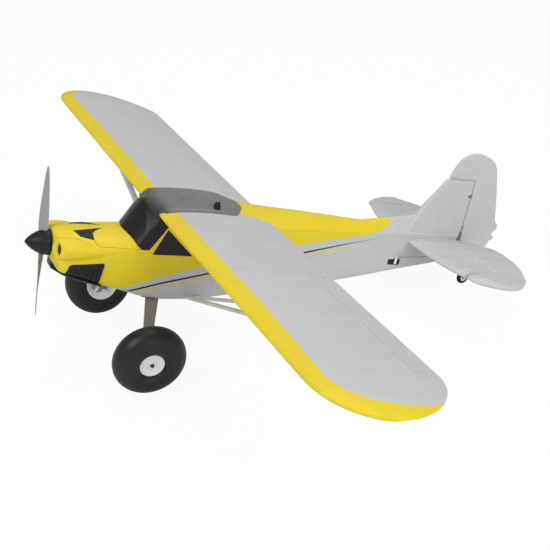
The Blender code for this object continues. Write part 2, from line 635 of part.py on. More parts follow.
# Main gear: sheet legs under a plate, with stub axles
gear_plate = box("gear_plate", (-GEAR_HALF, GEAR_FRONT, GEAR_TOP - 6.5), (GEAR_HALF, GEAR_BACK, GEAR_TOP - GAP), black)
LEG_TOP = GEAR_TOP - 6.5 - GAP
for side in (1, -1):
    tag = side_name(side)
    axle = np.array([side * math.cos(WHEEL_CAMBER), 0.0, -math.sin(WHEEL_CAMBER)])
    centre = np.array([side * WHEEL_X, WHEEL_Y, WHEEL_Z])
    inside = centre - axle * 30.0
    leg_y = 0.5 * (GEAR_FRONT + GEAR_BACK) - 1.0
    path = [(4.0, leg_y, LEG_TOP, 13.0), (46.0, leg_y, LEG_TOP, 13.0), (56.0, leg_y - 1.5, LEG_TOP - 3.5, 12.5),
            (inside[0] * side - 3.0, WHEEL_Y + 4.0, inside[2] + 7.0, 8.5),
            (inside[0] * side + 0.2, WHEEL_Y + 1.0, inside[2] - 6.0, 8.0)]
    rings = []
    for i, (x, y, z, half) in enumerate(path):
        a = path[max(i - 1, 0)]
        b = path[min(i + 1, len(path) - 1)]
        run = Vector((b[0] - a[0], b[2] - a[2])).normalized()
        down = np.array([run.y, -run.x]) * GEAR_THICK
        ring = [(x, y - half, z), (x, y + half, z), (x + down[0], y + half, z + down[1]),
                (x + down[0], y - half, z + down[1])]
        rings.append(np.array(ring) * np.array([side, 1.0, 1.0]))
    leg = loft("gear_leg_" + tag, rings, metal)
    stub = rod("axle " + tag, centre - axle * 31.5, centre + axle * 19.5, 2.4, None, group=cutters, count=16)
    combine(leg, stub, 'UNION')
    tyre = [(-16.5, 23.0), (-21.0, 26.0), (-25.0, 32.0), (-26.5, 39.0), (-25.0, 49.0), (-20.5, 58.0), (-12.5, 65.0),
            (-4.5, 67.7), (4.5, 67.7), (12.5, 65.0), (20.5, 58.0), (25.0, 49.0), (26.5, 39.0), (25.0, 32.0),
            (21.0, 26.0), (16.5, 23.0)]
    tyre = [(a, r * WHEEL_RADIUS / 67.9) for a, r in tyre]
    ring_body("tyre_" + tag, tyre, centre, axle, rubber, 34)
    rim = [(-17.5, HUB_RADIUS), (-17.5, 19.0), (-9.0, 17.0), (-9.0, 7.0), (-16.0, 6.0), (-16.0, 2.8), (18.0, 2.8),
           (18.0, 7.5), (16.0, 8.5), (15.0, 17.0), (18.5, 20.5), (18.0, HUB_RADIUS)]
    ring_body("hub_" + tag, rim, centre, axle, white, 22)

# Tail wheel on a bent wire under the rudder
tail = np.array([0.0, TAIL_WHEEL_Y, TAIL_WHEEL_Z])
WIRE = 1.5
wire_path = [(0.0, RUDDER_Y, RUDDER_FOOT - GAP), (0.0, RUDDER_Y, -88.0), (9.0, RUDDER_Y + 12.0, -98.0),
             (9.0, TAIL_WHEEL_Y - 1.0, TAIL_WHEEL_Z + 1.0), (7.5, TAIL_WHEEL_Y, TAIL_WHEEL_Z),
             (-4.6, TAIL_WHEEL_Y, TAIL_WHEEL_Z)]
rings = []
for i, place in enumerate(wire_path):
    before = Vector(wire_path[max(i - 1, 0)])
    after = Vector(wire_path[min(i + 1, len(wire_path) - 1)])
    into = Vector(place) - before if i else after - Vector(place)
    away = after - Vector(place) if i < len(wire_path) - 1 else into
    middle = (into.normalized() + away.normalized()).normalized()
    if i == 0:
        side_way = Vector((1.0, 0.0, 0.0))
    side_way = (side_way - middle * side_way.dot(middle)).normalized()
    up_way = middle.cross(side_way)
    oval = circle(WIRE, 10)
    rings.append(np.array(place) + oval[:, :1] * np.array(side_way) + oval[:, 1:] * np.array(up_way))
loft("tail_wire", rings, steel, rudder_pivot)
scale = TAIL_WHEEL_RADIUS / 14.0
ring_body("tail_tyre", [(-3.4, 8.8 * scale), (-4.4, 11.0 * scale), (-2.6, 13.4 * scale), (0.0, TAIL_WHEEL_RADIUS),
                        (2.6, 13.4 * scale), (4.4, 11.0 * scale), (3.4, 8.8 * scale)], tail, (1.0, 0.0, 0.0), rubber, 18)
ring_body("tail_hub", [(-3.4, 1.9), (3.4, 1.9), (3.4, 8.5 * scale), (-3.4, 8.5 * scale)], tail, (1.0, 0.0, 0.0), white, 18)
slab("tail_bracket", [(690.0, -84.8), (716.0, -80.6), (716.0, -86.0), (690.0, -90.5)], 0, -6.0, 6.0, black)

# Motor, propeller and spinner on the thrust line
spin = (0.0, 1.0, 0.0)
hub_at = (0.0, PROP_Y, THRUST_Z)
turned("motor_mount", [(0.0, BORE_RADIUS - GAP), (3.5, BORE_RADIUS - GAP)], (0.0, -111.8, THRUST_Z), spin, black)
turned("motor_stator", [(0.0, 14.0), (16.5, 14.0)], (0.0, -128.6, THRUST_Z), spin, metal)
turned("motor_bell", [(0.0, 2.6), (37.0, 2.6), (37.01, 9.0), (41.0, 17.5), (68.0, 17.5)], (0.0, -197.0, THRUST_Z), spin,
       black, pivot=hub_at)
turn_prop = Matrix.Rotation(PROP_TURN, 4, 'Y')
rings = []
for share, chord, pitch, thick in ((0.0, 13.0, 48.0, 7.0), (0.1, 16.0, 44.0, 6.0), (0.25, 23.0, 33.0, 4.4),
                                   (0.45, 26.0, 22.0, 3.2), (0.7, 22.0, 15.0, 2.4), (0.9, 14.5, 11.5, 1.8),
                                   (0.98, 8.0, 10.0, 1.3), (1.0, 3.5, 10.0, 1.0)):
    oval = circle(1.0, 14)
    a = math.radians(pitch)
    x = 0.5 * chord * oval[:, 0]
    y = 0.5 * thick * oval[:, 1]
    rings.append(np.stack([x * math.cos(a) - y * math.sin(a), x * math.sin(a) + y * math.cos(a),
                           np.full(14, share * PROP_RADIUS)], axis=1))
blades = []
for i, flip in enumerate((1.0, -1.0)):
    moved = [r * np.array([flip, 1.0, flip]) + np.array(hub_at) for r in rings]
    blade = loft("propeller" if i == 0 else "second blade", moved, propgrey if i == 0 else None, hub_at,
                 None if i == 0 else cutters)
    blade.rotation_euler = (0.0, PROP_TURN, 0.0)
    blades.append(blade)
prop_hub = turned("propeller hub", [(-6.0, 9.5), (6.0, 9.5)], hub_at, spin, None, group=cutters)
shaft_hole = turned("shaft hole", [(-12.0, 2.6 + GAP), (40.0, 2.6 + GAP)], hub_at, spin, None, group=cutters)
propeller = blades[0]
combine(propeller, blades[1], 'UNION')
combine(propeller, prop_hub, 'UNION')
cut(propeller, shaft_hole)
length = SPINNER_BASE - SPINNER_TIP
ogive = [(0.0, SPINNER_RADIUS), (length * 0.12, SPINNER_RADIUS * 0.995)]
for share in (0.3, 0.5, 0.68, 0.82, 0.92, 0.98):
    ogive.append((length * share, SPINNER_RADIUS * (1.0 - share ** 1.8) ** 0.82))
ogive.append((length, 0.8))
spinner = turned("spinner", ogive, (0.0, SPINNER_BASE, THRUST_Z), (0.0, -1.0, 0.0), black, pivot=hub_at)
hollow = turned("spinner hollow", [(-13.0, 14.0), (9.0, 15.5)], hub_at, spin, None, group=cutters)
slots = []
for sign in (1.0, -1.0):
    slot = box("blade slot", (-9.5, PROP_Y - 8.0, THRUST_Z + sign * 20.0 - 14.0),
               (9.5, PROP_Y + 8.0, THRUST_Z + sign * 20.0 + 14.0), None, hub_at, cutters)
    slot.rotation_euler = (0.0, PROP_TURN, 0.0)
    slots.append(slot)
cut(spinner, hollow, shaft_hole, *slots)

# Radio gear and battery inside the cabin
BATTERY_FRONT = -70.0
BATTERY_LONG = 108.0
BATTERY_TALL = 28.0
RECEIVER_FRONT = 62.0
RECEIVER_LONG = 44.0


# Height of the cabin's foam floor at a place along the fuselage
def cabin_floor(y):
    return float(np.interp(y, [s[0] for s in STATIONS], [s[4] for s in STATIONS])) + FOAM_WALL + GAP


BATTERY_FLOOR = cabin_floor(BATTERY_FRONT)
BATTERY_TOP = BATTERY_FLOOR + BATTERY_TALL
battery = box("battery", (-18.0, BATTERY_FRONT, BATTERY_FLOOR), (18.0, BATTERY_FRONT + BATTERY_LONG, BATTERY_TOP), wrap)
box("speed_control", (-15.0, BATTERY_FRONT + 8.0, BATTERY_TOP + GAP),
    (15.0, BATTERY_FRONT + 58.0, BATTERY_TOP + GAP + 12.0), board)
receiver_floor = max(cabin_floor(RECEIVER_FRONT), cabin_floor(RECEIVER_FRONT + RECEIVER_LONG))
box("receiver", (-13.0, RECEIVER_FRONT, receiver_floor),
    (13.0, RECEIVER_FRONT + RECEIVER_LONG, receiver_floor + 14.0), board)


ARM_BACK = 2.8
ARM_ROOT = 2.3
ARM_END = 2.0


# Servo, arm, pushrod and horn of one control
def control(tag, low, high, arm_at, arm_tip, horn, rod_start, rod_end, arm_x, horn_axis, horn_span, horn_pivot):
    box("servo_" + tag, low, high, black)
    a = np.array(arm_at)
    b = np.array(arm_tip)
    along = (b - a) / np.linalg.norm(b - a)
    side = np.array([-along[1], along[0]])
    outline = [a - along * ARM_BACK + side * ARM_ROOT, a - along * ARM_BACK - side * ARM_ROOT,
               b + along * ARM_END - side * 1.8, b + along * ARM_END + side * 1.8]
    slab("arm_" + tag, outline, 0, min(arm_x), max(arm_x), black, ((arm_x[0] + arm_x[1]) / 2.0, *arm_at))
    slab("horn_" + tag, horn, horn_axis, min(horn_span), max(horn_span), black, horn_pivot)
    rod("pushrod_" + tag, rod_start, rod_end, 1.0, steel, count=10)


low, high = servo_boxes[1]
ARM_X = 23.0
ARM_LONG = 16.0
ELEVATOR_ARM = 13.0
HORN_END = -66.0
arm_y = ELEVATOR_SERVO_Y + 5.5
elevator_rod_x = ARM_X + 2.5 + GAP + 1.0
control("elevator", low, high, (arm_y, ELEVATOR_SERVO_Z), (arm_y, ELEVATOR_SERVO_Z + ELEVATOR_ARM),
        [(HINGE_Y - 1.0, STAB_Z - NOSE - GAP), (HINGE_Y + 18.0, STAB_Z - NOSE - GAP), (HINGE_Y + 3.0, HORN_END - 2.5),
         (HINGE_Y - 3.0, HORN_END - 2.5)],
        (elevator_rod_x, arm_y - 2.0, ELEVATOR_SERVO_Z + ELEVATOR_ARM), (elevator_rod_x, HINGE_Y + 2.0, HORN_END),
        (ARM_X, ARM_X + 2.5), 0, (ARM_X, ARM_X + 2.5), (ARM_X, HINGE_Y, STAB_Z))
low, high = servo_boxes[-1]
arm_y = RUDDER_SERVO_Y + 5.5
RUDDER_HORN = 24.0
RUDDER_HORN_Z = RUDDER_FOOT + 4.0
rod_x = -RUDDER_HORN
control("rudder", low, high, (arm_y, RUDDER_SERVO_Z), (arm_y, RUDDER_SERVO_Z + ARM_LONG),
        [(-FIN_THICK / 2.0 - GAP, RUDDER_Y + 1.0), (-FIN_THICK / 2.0 - GAP, RUDDER_Y + 16.0),
         (-RUDDER_HORN - 2.0, RUDDER_Y + 3.0), (-RUDDER_HORN - 2.0, RUDDER_Y - 3.0)],
        (rod_x, arm_y - 2.0, RUDDER_SERVO_Z + ARM_LONG), (rod_x, RUDDER_Y + 2.0, RUDDER_HORN_Z - 2.5 - GAP - 0.2),
        (-RUDDER_HORN + 1.3, -RUDDER_HORN + 3.8), 2, (RUDDER_HORN_Z - 1.2, RUDDER_HORN_Z + 0.8),
        (0.0, RUDDER_Y, RUDDER_HORN_Z))
for side in (1, -1):
    tag = side_name(side)
    low, high = servo_places[side]
    floor = low[2]
    arm_y = AIL_SERVO_Y + 20.0
    tip_z = floor - 17.0
    arm_z = tip_z + 13.0
    x0 = side * AIL_SERVO_X
    hinge_z = wing_skin(AIL_SERVO_X, AILERON_HINGE, True)
    under = wing_skin(AIL_SERVO_X, AILERON_HINGE + 16.0, False)
    control("aileron_" + tag, low, high, (arm_y, arm_z), (arm_y, tip_z),
            [(AILERON_HINGE + 11.0, under - 0.9), (AILERON_HINGE + 24.0, under - 0.9),
             (AILERON_HINGE + 3.0, tip_z - 2.5), (AILERON_HINGE - 3.0, tip_z - 2.5)],
            (x0 + 3.0 + GAP, arm_y - 2.0, tip_z), (x0 + 3.0 + GAP, AILERON_HINGE + 2.0, tip_z),
            (x0 - 0.5, x0 + 2.0 - 0.5), 0, (x0 - 0.5, x0 + 2.0 - 0.5), (x0, AILERON_HINGE, hinge_z))

# Stand the airframe on its three wheels: nose up, ground at zero
rise = TAIL_WHEEL_Z - WHEEL_Z
run = TAIL_WHEEL_Y - WHEEL_Y
stance = math.atan2(rise, run) + math.asin((WHEEL_RADIUS - TAIL_WHEEL_RADIUS) / math.hypot(rise, run))
airframe.rotation_euler = (-stance, 0.0, 0.0)
turn = Matrix.Rotation(-stance, 3, 'X')
foot = turn @ Vector((0.0, WHEEL_Y, WHEEL_Z)) * 0.001
airframe.location = (0.0, 0.0, WHEEL_RADIUS * 0.001 - foot.z)
bpy.context.view_layer.update()
nose_at = min((spinner.matrix_world @ v.co).y for v in spinner.data.vertices)
tail_at = max((rudder.matrix_world @ v.co).y for v in rudder.data.vertices)
airframe.location.y = -0.5 * (nose_at + tail_at)
bpy.context.view_layer.update()
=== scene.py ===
import math

import bmesh
import bpy
import numpy as np
from mathutils import Matrix, Vector


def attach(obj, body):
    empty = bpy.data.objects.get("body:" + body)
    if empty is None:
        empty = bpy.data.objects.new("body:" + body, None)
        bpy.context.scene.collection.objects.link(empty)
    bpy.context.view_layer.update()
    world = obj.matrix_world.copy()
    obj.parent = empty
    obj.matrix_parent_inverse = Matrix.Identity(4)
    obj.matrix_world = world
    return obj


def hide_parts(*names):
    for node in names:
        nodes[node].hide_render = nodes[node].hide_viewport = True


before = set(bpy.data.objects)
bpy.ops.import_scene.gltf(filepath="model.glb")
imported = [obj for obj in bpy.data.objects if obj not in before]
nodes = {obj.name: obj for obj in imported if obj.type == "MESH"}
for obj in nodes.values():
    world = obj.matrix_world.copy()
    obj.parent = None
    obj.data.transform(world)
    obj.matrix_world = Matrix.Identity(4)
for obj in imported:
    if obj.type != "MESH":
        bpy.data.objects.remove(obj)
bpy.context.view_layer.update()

# Shapes are worked out in millimetres in the airframe's own axes: X to port, Y aft, Z up, from the leading
# edge of the wing's root. The stance turns them nose up and sets the wheels on the floor.
stance = {"pitch": 0.2002812475, "shift": (0.0, -0.2818148136, 0.2894451022)}
sides = ((1, "left"), (-1, "right"))


# Turn about X by an angle
def turnX(p, angle):
    c, s = math.cos(angle), math.sin(angle)
    return np.stack([p[..., 0], p[..., 1] * c - p[..., 2] * s, p[..., 2] * c + p[..., 1] * s], axis=-1)


# Body millimetres to row metres: a turn by minus the pitch, then the shift
def toRow(p):
    return turnX(np.asarray(p, float), -stance["pitch"]) * 0.001 + np.array(stance["shift"])


# Row metres back to body millimetres: the shift taken off, then a turn by the pitch
def toBody(p):
    return turnX((np.asarray(p, float) - np.array(stance["shift"])) * 1000.0, stance["pitch"])


# Share of the way from start to end, held between nought and one
def ramp(value, start, end):
    return np.clip((value - start) / (end - start), 0, 1)


# Share that rises from a to b and falls again from c to d
def plateau(value, a, b, c, d):
    return ramp(value, a, b) * ramp(value, d, c)


# Angles of a full turn in equal steps
def circle(count):
    return np.arange(count) * 2 * np.pi / count


# Mesh from body points and faces, with its faces turned outwards
def meshPiece(name, points, faces, sharp):
    mesh = bpy.data.meshes.new(name)
    mesh.from_pydata(toRow(np.asarray(points).reshape(-1, 3)).tolist(), [], faces)
    work = bmesh.new()
    work.from_mesh(mesh)
    bmesh.ops.remove_doubles(work, verts=work.verts[:], dist=1e-7)
    bmesh.ops.triangulate(work, faces=[f for f in work.faces if len(f.verts) > 4])
    bmesh.ops.recalc_face_normals(work, faces=work.faces[:])
    work.to_mesh(mesh)
    work.free()
    mesh.shade_smooth()
    mesh.set_sharp_from_angle(angle=math.radians(sharp))
    piece = bpy.data.objects.new(name, mesh)
    bpy.context.scene.collection.objects.link(piece)
    return piece


# Quads between neighbouring rings of one closed skin; loop joins the last ring to the first
def ringFaces(rings, count, loop, start):
    i = np.arange(rings if loop else rings - 1)[:, None]
    j = np.arange(count)[None, :]
    k, n = (j + 1) % count, (i + 1) % rings
    quads = np.stack([i * count + j, i * count + k, n * count + k, n * count + j], axis=-1)
    return (quads.reshape(-1, 4) + start).tolist()


# Closed skins as one piece: grid is bodies by rings by points by 3, with flat caps unless the rings loop
def skins(name, grid, loop=False, sharp=35.0):
    bodies, rings, count = grid.shape[:3]
    faces = []
    for start in range(0, bodies * rings * count, rings * count):
        faces += ringFaces(rings, count, loop, start)
        if not loop:
            faces += [list(range(first, first + count)) for first in (start, start + (rings - 1) * count)]
    return meshPiece(name, grid, faces, sharp)


# One closed skin: grid is rings by points by 3
def skin(name, grid, loop=False, sharp=35.0):
    return skins(name, grid[None], loop, sharp)


# Smooth curve through points that never overshoots: cubic pieces with harmonic-mean slopes
def smoothCurve(xs, ys, x):
    xs, ys, x = np.asarray(xs, float), np.asarray(ys, float), np.asarray(x, float)
    h, d = np.diff(xs), np.diff(ys) / np.diff(xs)
    slope = np.zeros_like(ys)
    same = d[:-1] * d[1:] > 0
    w1, w2 = 2 * h[1:] + h[:-1], h[1:] + 2 * h[:-1]
    safe = np.where(same, w1 / np.where(d[:-1] == 0, 1, d[:-1]) + w2 / np.where(d[1:] == 0, 1, d[1:]), 1)
    slope[1:-1] = np.where(same, (w1 + w2) / np.where(safe == 0, 1, safe), 0)
    slope[0], slope[-1] = d[0], d[-1]
    i = np.clip(np.searchsorted(xs, x) - 1, 0, len(h) - 1)
    t = np.clip((x - xs[i]) / h[i], 0.0, 1.0)
    a, b = ys[i], ys[i + 1]
    return ((1 + 2 * t) * (1 - t) ** 2 * a + t * (1 - t) ** 2 * h[i] * slope[i]
            + t * t * (3 - 2 * t) * b + t * t * (t - 1) * h[i] * slope[i + 1])


# Quadratic curve from a to b that leans on a corner
def bend(a, corner, b, t):
    return (1 - t) ** 2 * a + 2 * t * (1 - t) * corner + t * t * b


# Outline with each corner replaced by a small quadratic curve of that reach
def roundedPath(points, reach, steps=7):
    v = np.asarray(points, float)
    reach = np.broadcast_to(np.asarray(reach, float), (len(v),))[:, None]
    back, fore = np.roll(v, 1, axis=0) - v, np.roll(v, -1, axis=0) - v
    lb, lf = np.linalg.norm(back, axis=1)[:, None], np.linalg.norm(fore, axis=1)[:, None]
    a = v + back * np.minimum(reach / lb, 0.49)
    b = v + fore * np.minimum(reach / lf, 0.49)
    t = np.linspace(0, 1, steps)[None, :, None]
    return bend(a[:, None], v[:, None], b[:, None], t).reshape(-1, v.shape[1])


# Closed outline with evenly spread points
def evenPath(points, count):
    loop = np.vstack([points, points[:1]])
    run = np.concatenate([[0], np.cumsum(np.linalg.norm(np.diff(loop, axis=0), axis=1))])
    at = np.linspace(0, run[-1], count, endpoint=False)
    return np.stack([np.interp(at, run, loop[:, i]) for i in range(loop.shape[1])], axis=1)


# Rectangle with rounded corners, from its limits on two axes
def roundedBox(across, up, reach, count=40):
    corners = [(across[0], up[0]), (across[1], up[0]), (across[1], up[1]), (across[0], up[1])]
    return evenPath(roundedPath(corners, reach), count)


# Outline moved in by a distance along the mean of its two edge normals
def inset(outline, distance):
    outline = np.asarray(outline, float)
    edge = np.roll(outline, -1, axis=0) - outline
    edge = edge / np.maximum(np.linalg.norm(edge, axis=1), 1e-9)[:, None]
    area = np.sum(outline[:, 0] * np.roll(outline[:, 1], -1) - np.roll(outline[:, 0], -1) * outline[:, 1])
    normal = np.stack([-edge[:, 1], edge[:, 0]], axis=1) * (1.0 if area > 0 else -1.0)
    mean = normal + np.roll(normal, 1, axis=0)
    mean = mean / np.maximum(np.sum(mean * normal, axis=1), 0.35)[:, None]
    return outline + mean * distance


# Copies of a flat outline at places along one axis: 0 for X, 2 for Z
def slices(outline, places, axis=0):
    return np.stack([np.insert(np.asarray(outline, float), axis, place, axis=1) for place in places])


# Unit vectors along a direction and two square to it
def squareTo(direction):
    along = Vector(direction).normalized()
    side = along.cross(Vector((0, 0, 1)))
    if side.length < 0.2:
        side = along.cross(Vector((0, 1, 0)))
    side.normalize()
    return np.array(along), np.array(side), np.array(side.cross(along))


# Profile of (distance along, radius) rows turned about an axis
def lathe(name, profile, centre, direction, count=64, loop=False, sharp=35.0):
    along, side, up = squareTo(direction)
    profile = np.asarray(profile, float)
    turn = circle(count)
    out = np.cos(turn)[:, None] * side + np.sin(turn)[:, None] * up
    grid = np.asarray(centre, float) + profile[:, None, :1] * along + profile[:, None, 1:] * out[None]
    return skin(name, grid, loop, sharp)


# Round wire along points, with frames carried from one point to the next
def wire(name, path, radius, count=14):
    step = np.gradient(path, axis=0)
    step = step / np.linalg.norm(step, axis=1)[:, None]
    side = squareTo(step[0])[1]
    frames = []
    for t in step:
        side = side - t * (side @ t)
        side = side / np.linalg.norm(side)
        frames.append(side)
    frames = np.array(frames)
    ups = np.cross(step, frames)
    turn = circle(count)
    ring = np.cos(turn)[None, :, None] * frames[:, None] + np.sin(turn)[None, :, None] * ups[:, None]
    return skin(name, path[:, None] + radius * ring)


# Piece cut by another, or kept inside it only; the other then goes away
def carve(piece, other, how='DIFFERENCE', sharp=35.0):
    step = piece.modifiers.new("carve", 'BOOLEAN')
    step.operation, step.solver, step.object = how, 'EXACT', other
    bpy.context.view_layer.update()
    made = bpy.data.meshes.new_from_object(piece.evaluated_get(bpy.context.evaluated_depsgraph_get()))
    piece.modifiers.clear()
    old, piece.data = piece.data, made
    bpy.data.meshes.remove(old)
    made.shade_smooth()
    made.set_sharp_from_angle(angle=math.radians(sharp))
    bpy.data.objects.remove(other, do_unlink=True)


# Signed measure kept on each point, worked out from its body place
def measure(piece, name, rule):
    co = np.empty(len(piece.data.vertices) * 3, np.float32)
    piece.data.vertices.foreach_get("co", co)
    value = np.asarray(rule(toBody(co.reshape(-1, 3))), np.float32)
    piece.data.attributes.new(name, 'FLOAT', 'POINT').data.foreach_set("value", value)


# Piece with its finish, set on a body, in place of any CAD nodes named
def finishPiece(piece, body, look, slotName, *stands):
    piece.data.materials.clear()
    piece.data.materials.append(look)
    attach(piece, body)
    if stands:
        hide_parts(*stands)


# Left piece and its mirror image; a body or node name that ends in an underscore goes on with the side's name
def pair(name, grid, body, look, slotName, node=None, zone=None, rule=None, sharp=35.0):
    for side, tag in sides:
        piece = skins(name + "." + tag, (grid if grid.ndim == 4 else grid[None]) * (side, 1, 1), sharp=sharp)
        if zone:
            measure(piece, zone, rule)
        ownBody = body + tag if body.endswith("_") else body
        finishPiece(piece, ownBody, look, slotName, *([node + tag] if node else []))


# Node with each socket set to a constant or linked to another node's output
def join(node, sockets):
    for key, value in sockets.items():
        if isinstance(value, bpy.types.NodeSocket):
            node.id_data.links.new(value, node.inputs[key])
        else:
            node.inputs[key].default_value = value
    return node


# Sum, product or the like of its values, as a node's output
def arithmetic(tree, operation, *values):
    node = tree.new("ShaderNodeMath")
    node.operation = operation
    return join(node, dict(enumerate(values))).outputs[0]


# Shared finish: colour with soft blotches, fine grain in bump and roughness, and painted zones from measures
def finish(name, colour, rough, grain=900.0, depth=0.00006, blotch=0.03, metal=0.0, zones=(), beads=0.0,
           shine=0.5, paintEdge=0.25):
    made = bpy.data.materials.new(name)
    made.use_nodes = True
    tree = made.node_tree.nodes
    place = tree.new("ShaderNodeTexCoord").outputs["Object"]

    # Soft noise over the object, between nought and one
    def noise(scale, detail):
        sockets = {"Scale": scale, "Detail": detail, "Vector": place}
        return join(tree.new("ShaderNodeTexNoise"), sockets).outputs["Fac"]

    # Value moved from the range a to b to the range c to d
    def span(value, a, b, c, d):
        sockets = {"Value": value, "From Min": a, "From Max": b, "To Min": c, "To Max": d}
        return join(tree.new("ShaderNodeMapRange"), sockets).outputs["Result"]

    paint = (*colour, 1)
    for attribute, zoneColour, half in zones:
        read = tree.new("ShaderNodeAttribute")
        read.attribute_name = attribute
        share = read.outputs["Fac"]
        if half:
            share = span(arithmetic(tree, 'ABSOLUTE', share), half - paintEdge, half + paintEdge, 1.0, 0.0)
        else:
            share = span(share, -paintEdge, paintEdge, 0.0, 1.0)
        mix = tree.new("ShaderNodeMix")
        mix.data_type = 'RGBA'
        join(mix, {"Factor": share, "A": paint, "B": (*zoneColour, 1)})
        paint = next(o for o in mix.outputs if o.type == 'RGBA')
    tint = tree.new("ShaderNodeVectorMath")
    tint.operation = 'SCALE'
    shade = span(noise(14.0, 3.0), 0.3, 0.7, 1.0 - blotch, 1.0 + blotch)
    join(tint, {0: paint if zones else colour, "Scale": shade})
    fine = noise(grain, 2.0)
    height = fine
    if beads:
        cell = join(tree.new("ShaderNodeTexVoronoi"), {"Scale": beads, "Vector": place})
        height = arithmetic(tree, 'ADD', fine, cell.outputs["Distance"])
    bump = join(tree.new("ShaderNodeBump"), {"Strength": 0.5, "Distance": depth, "Height": height})
    join(tree["Principled BSDF"], {
        "Base Color": tint.outputs["Vector"], "Normal": bump.outputs["Normal"], "Metallic": metal,
        "Specular IOR Level": shine,
        "Roughness": span(fine, 0.25, 0.75, max(rough - 0.07, 0.02), min(rough + 0.07, 1.0))})
    return made


yellowPaint = (0.76, 0.60, 0.018)
greyPaint = (0.535, 0.545, 0.55)
blackPaint = (0.010, 0.010, 0.0105)
foam = {"beads": 330.0, "depth": 0.00008, "blotch": 0.025}
moulded = {"grain": 1600.0, "depth": 0.00005, "blotch": 0.08}
glossy = {"grain": 1800.0, "depth": 0.00003}
pressed = {"grain": 1200.0, "depth": 0.00004}
drawn = {"grain": 2400.0, "depth": 0.00002, "blotch": 0.05}
yellowFoam = finish("yellowFoam", yellowPaint, 0.42, shine=0.3, **foam)
greyFoam = finish("greyFoam", greyPaint, 0.5, **foam)
# Tail grey with paler lines along the ribs: painted highlight for the rib ridges
tailFoam = finish("tailFoam", greyPaint, 0.5, zones=(("ribHighlight", (0.66, 0.67, 0.675), 1.0),), **foam)
ridgeFoam = finish("ridgePaint", greyPaint, 0.5, zones=(("yellowSide", yellowPaint, 0),), **foam)
wingFoam = finish("wingPaint", greyPaint, 0.5, zones=(("yellowEdge", yellowPaint, 0),), shine=0.35, **foam)
sideFoam = finish("fuselagePaint", yellowPaint, 0.45, shine=0.3, zones=(
    ("darkFront", blackPaint, 0), ("sill", yellowPaint, 0), ("noseFront", yellowPaint, 0),
    ("greyBelow", greyPaint, 0), ("thinLine", yellowPaint, 1.5), ("pinLine", blackPaint, 1.8)), **foam)
matteBlack = finish("mattBlackPlastic", (0.008, 0.008, 0.0085), 0.46, shine=0.32, **moulded)
# Dark olive for the intake: painted shade of a deep yellow recess
intakePaintedShade = finish("intakePaintedShade", (0.05, 0.038, 0.004), 0.8, shine=0.1, **moulded)
screenBlack = finish("screenBlack", (0.007, 0.007, 0.0073), 0.36, blotch=0.05, shine=0.32, **glossy)
hingeGrey = finish("hingeGrey", (0.16, 0.16, 0.162), 0.4, blotch=0.05, **glossy)
# Cover grey, with a zone that paints its front darker towards the crease: painted shade
coverGrey = finish("coverGrey", (0.165, 0.165, 0.167), 0.36, blotch=0.04,
                   zones=(("paintedFrontShade", (0.012, 0.012, 0.0125), 0),), **glossy)
rubberBlack = finish("tyreRubber", (0.011, 0.011, 0.0125), 0.42, grain=700.0, blotch=0.10, shine=0.36)
hubWhite = finish("hubWhite", (0.86, 0.86, 0.88), 0.36, grain=1500.0, depth=0.00003, blotch=0.02)
propGrey = finish("propellerGrey", (0.31, 0.31, 0.29), 0.4, blotch=0.04, **pressed)
strutGrey = finish("strutGrey", (0.60, 0.60, 0.585), 0.42, **pressed)
gearSheet = finish("gearSheet", (0.235, 0.226, 0.203), 0.42, grain=1500.0, depth=0.00004, blotch=0.06,
                   metal=0.15)
steelWire = finish("steelWire", (0.50, 0.50, 0.50), 0.3, metal=1.0, **drawn)
darkScrew = finish("darkScrew", (0.06, 0.06, 0.062), 0.35, metal=0.9, **drawn)
carbonTube = finish("carbonTube", (0.02, 0.02, 0.021), 0.3, grain=2000.0, depth=0.00003, blotch=0.1)
wrapBlue = finish("batteryWrap", (0.02, 0.04, 0.16), 0.3, grain=300.0, depth=0.0002, blotch=0.05)
print("finishes made")

# Fuselage stations: y, half width, top, shoulder, belly, belly corner, roof power
hullTable = np.array([
    (-173, 27.5, -50, -76, -100.5, 24, 2), (-170.5, 33.5, -48.8, -74, -105.5, 27, 2.1),
    (-166, 39.2, -47.8, -72.5, -113, 26, 2.1), (-159, 43.5, -47, -72, -121.5, 22, 2.1),
    (-145, 46.8, -46, -72, -127.2, 19, 2.1), (-102, 52.5, -44, -70, -136.8, 17, 2.1),
    (-46, 57.4, -42, -68, -147.7, 14, 2.1), (-40, 58, -31.8, -67, -149, 13, 1.36),
    (-34, 58.5, -21.4, -66, -150.2, 12, 1.28), (-24, 59, -4.4, -54, -153, 11.5, 1.45),
    (-13, 59.5, 14.2, -37, -155.8, 11, 1.5), (-2, 59.8, 17, -24, -158, 11, 1.8),
    (6, 60, 18, -20, -159.3, 11, 2.7), (40, 60, 21, 9, -163, 11, 3),
    (100, 60, 21, 9, -162, 11, 3), (150, 58.5, 17, 5, -156, 11, 2.6),
    (193, 57, 12, -3, -151, 11, 2), (232, 54, 10.5, -9, -147, 11, 1.5),
    (316, 45, 7, -14, -138.5, 10, 1.4), (400, 35.5, 1, -19, -129.5, 9, 1.4),
    (449, 30, -3, -21, -123.5, 8, 1.4), (540, 21.5, -8, -23, -109, 7, 1.5),
    (638, 13.5, -14, -25, -93, 5, 1.6), (716.5, 8, -17, -26, -80, 3, 1.7)])
# Windscreen stations: a raked front that sweeps back to the sides
screenTable = np.array([
    (-70, 55, -84, -130, -160, 9, 1.45), (-46, 57.4, -42, -90, -150, 11, 1.45),
    (-34, 58.5, -21.4, -71, -151, 11, 1.45), (-24, 59, -4.4, -54, -153, 11, 1.45),
    (-13, 59.5, 14.2, -37, -155.8, 11, 1.5), (-2, 59.8, 17, -24, -158, 11, 1.8)])
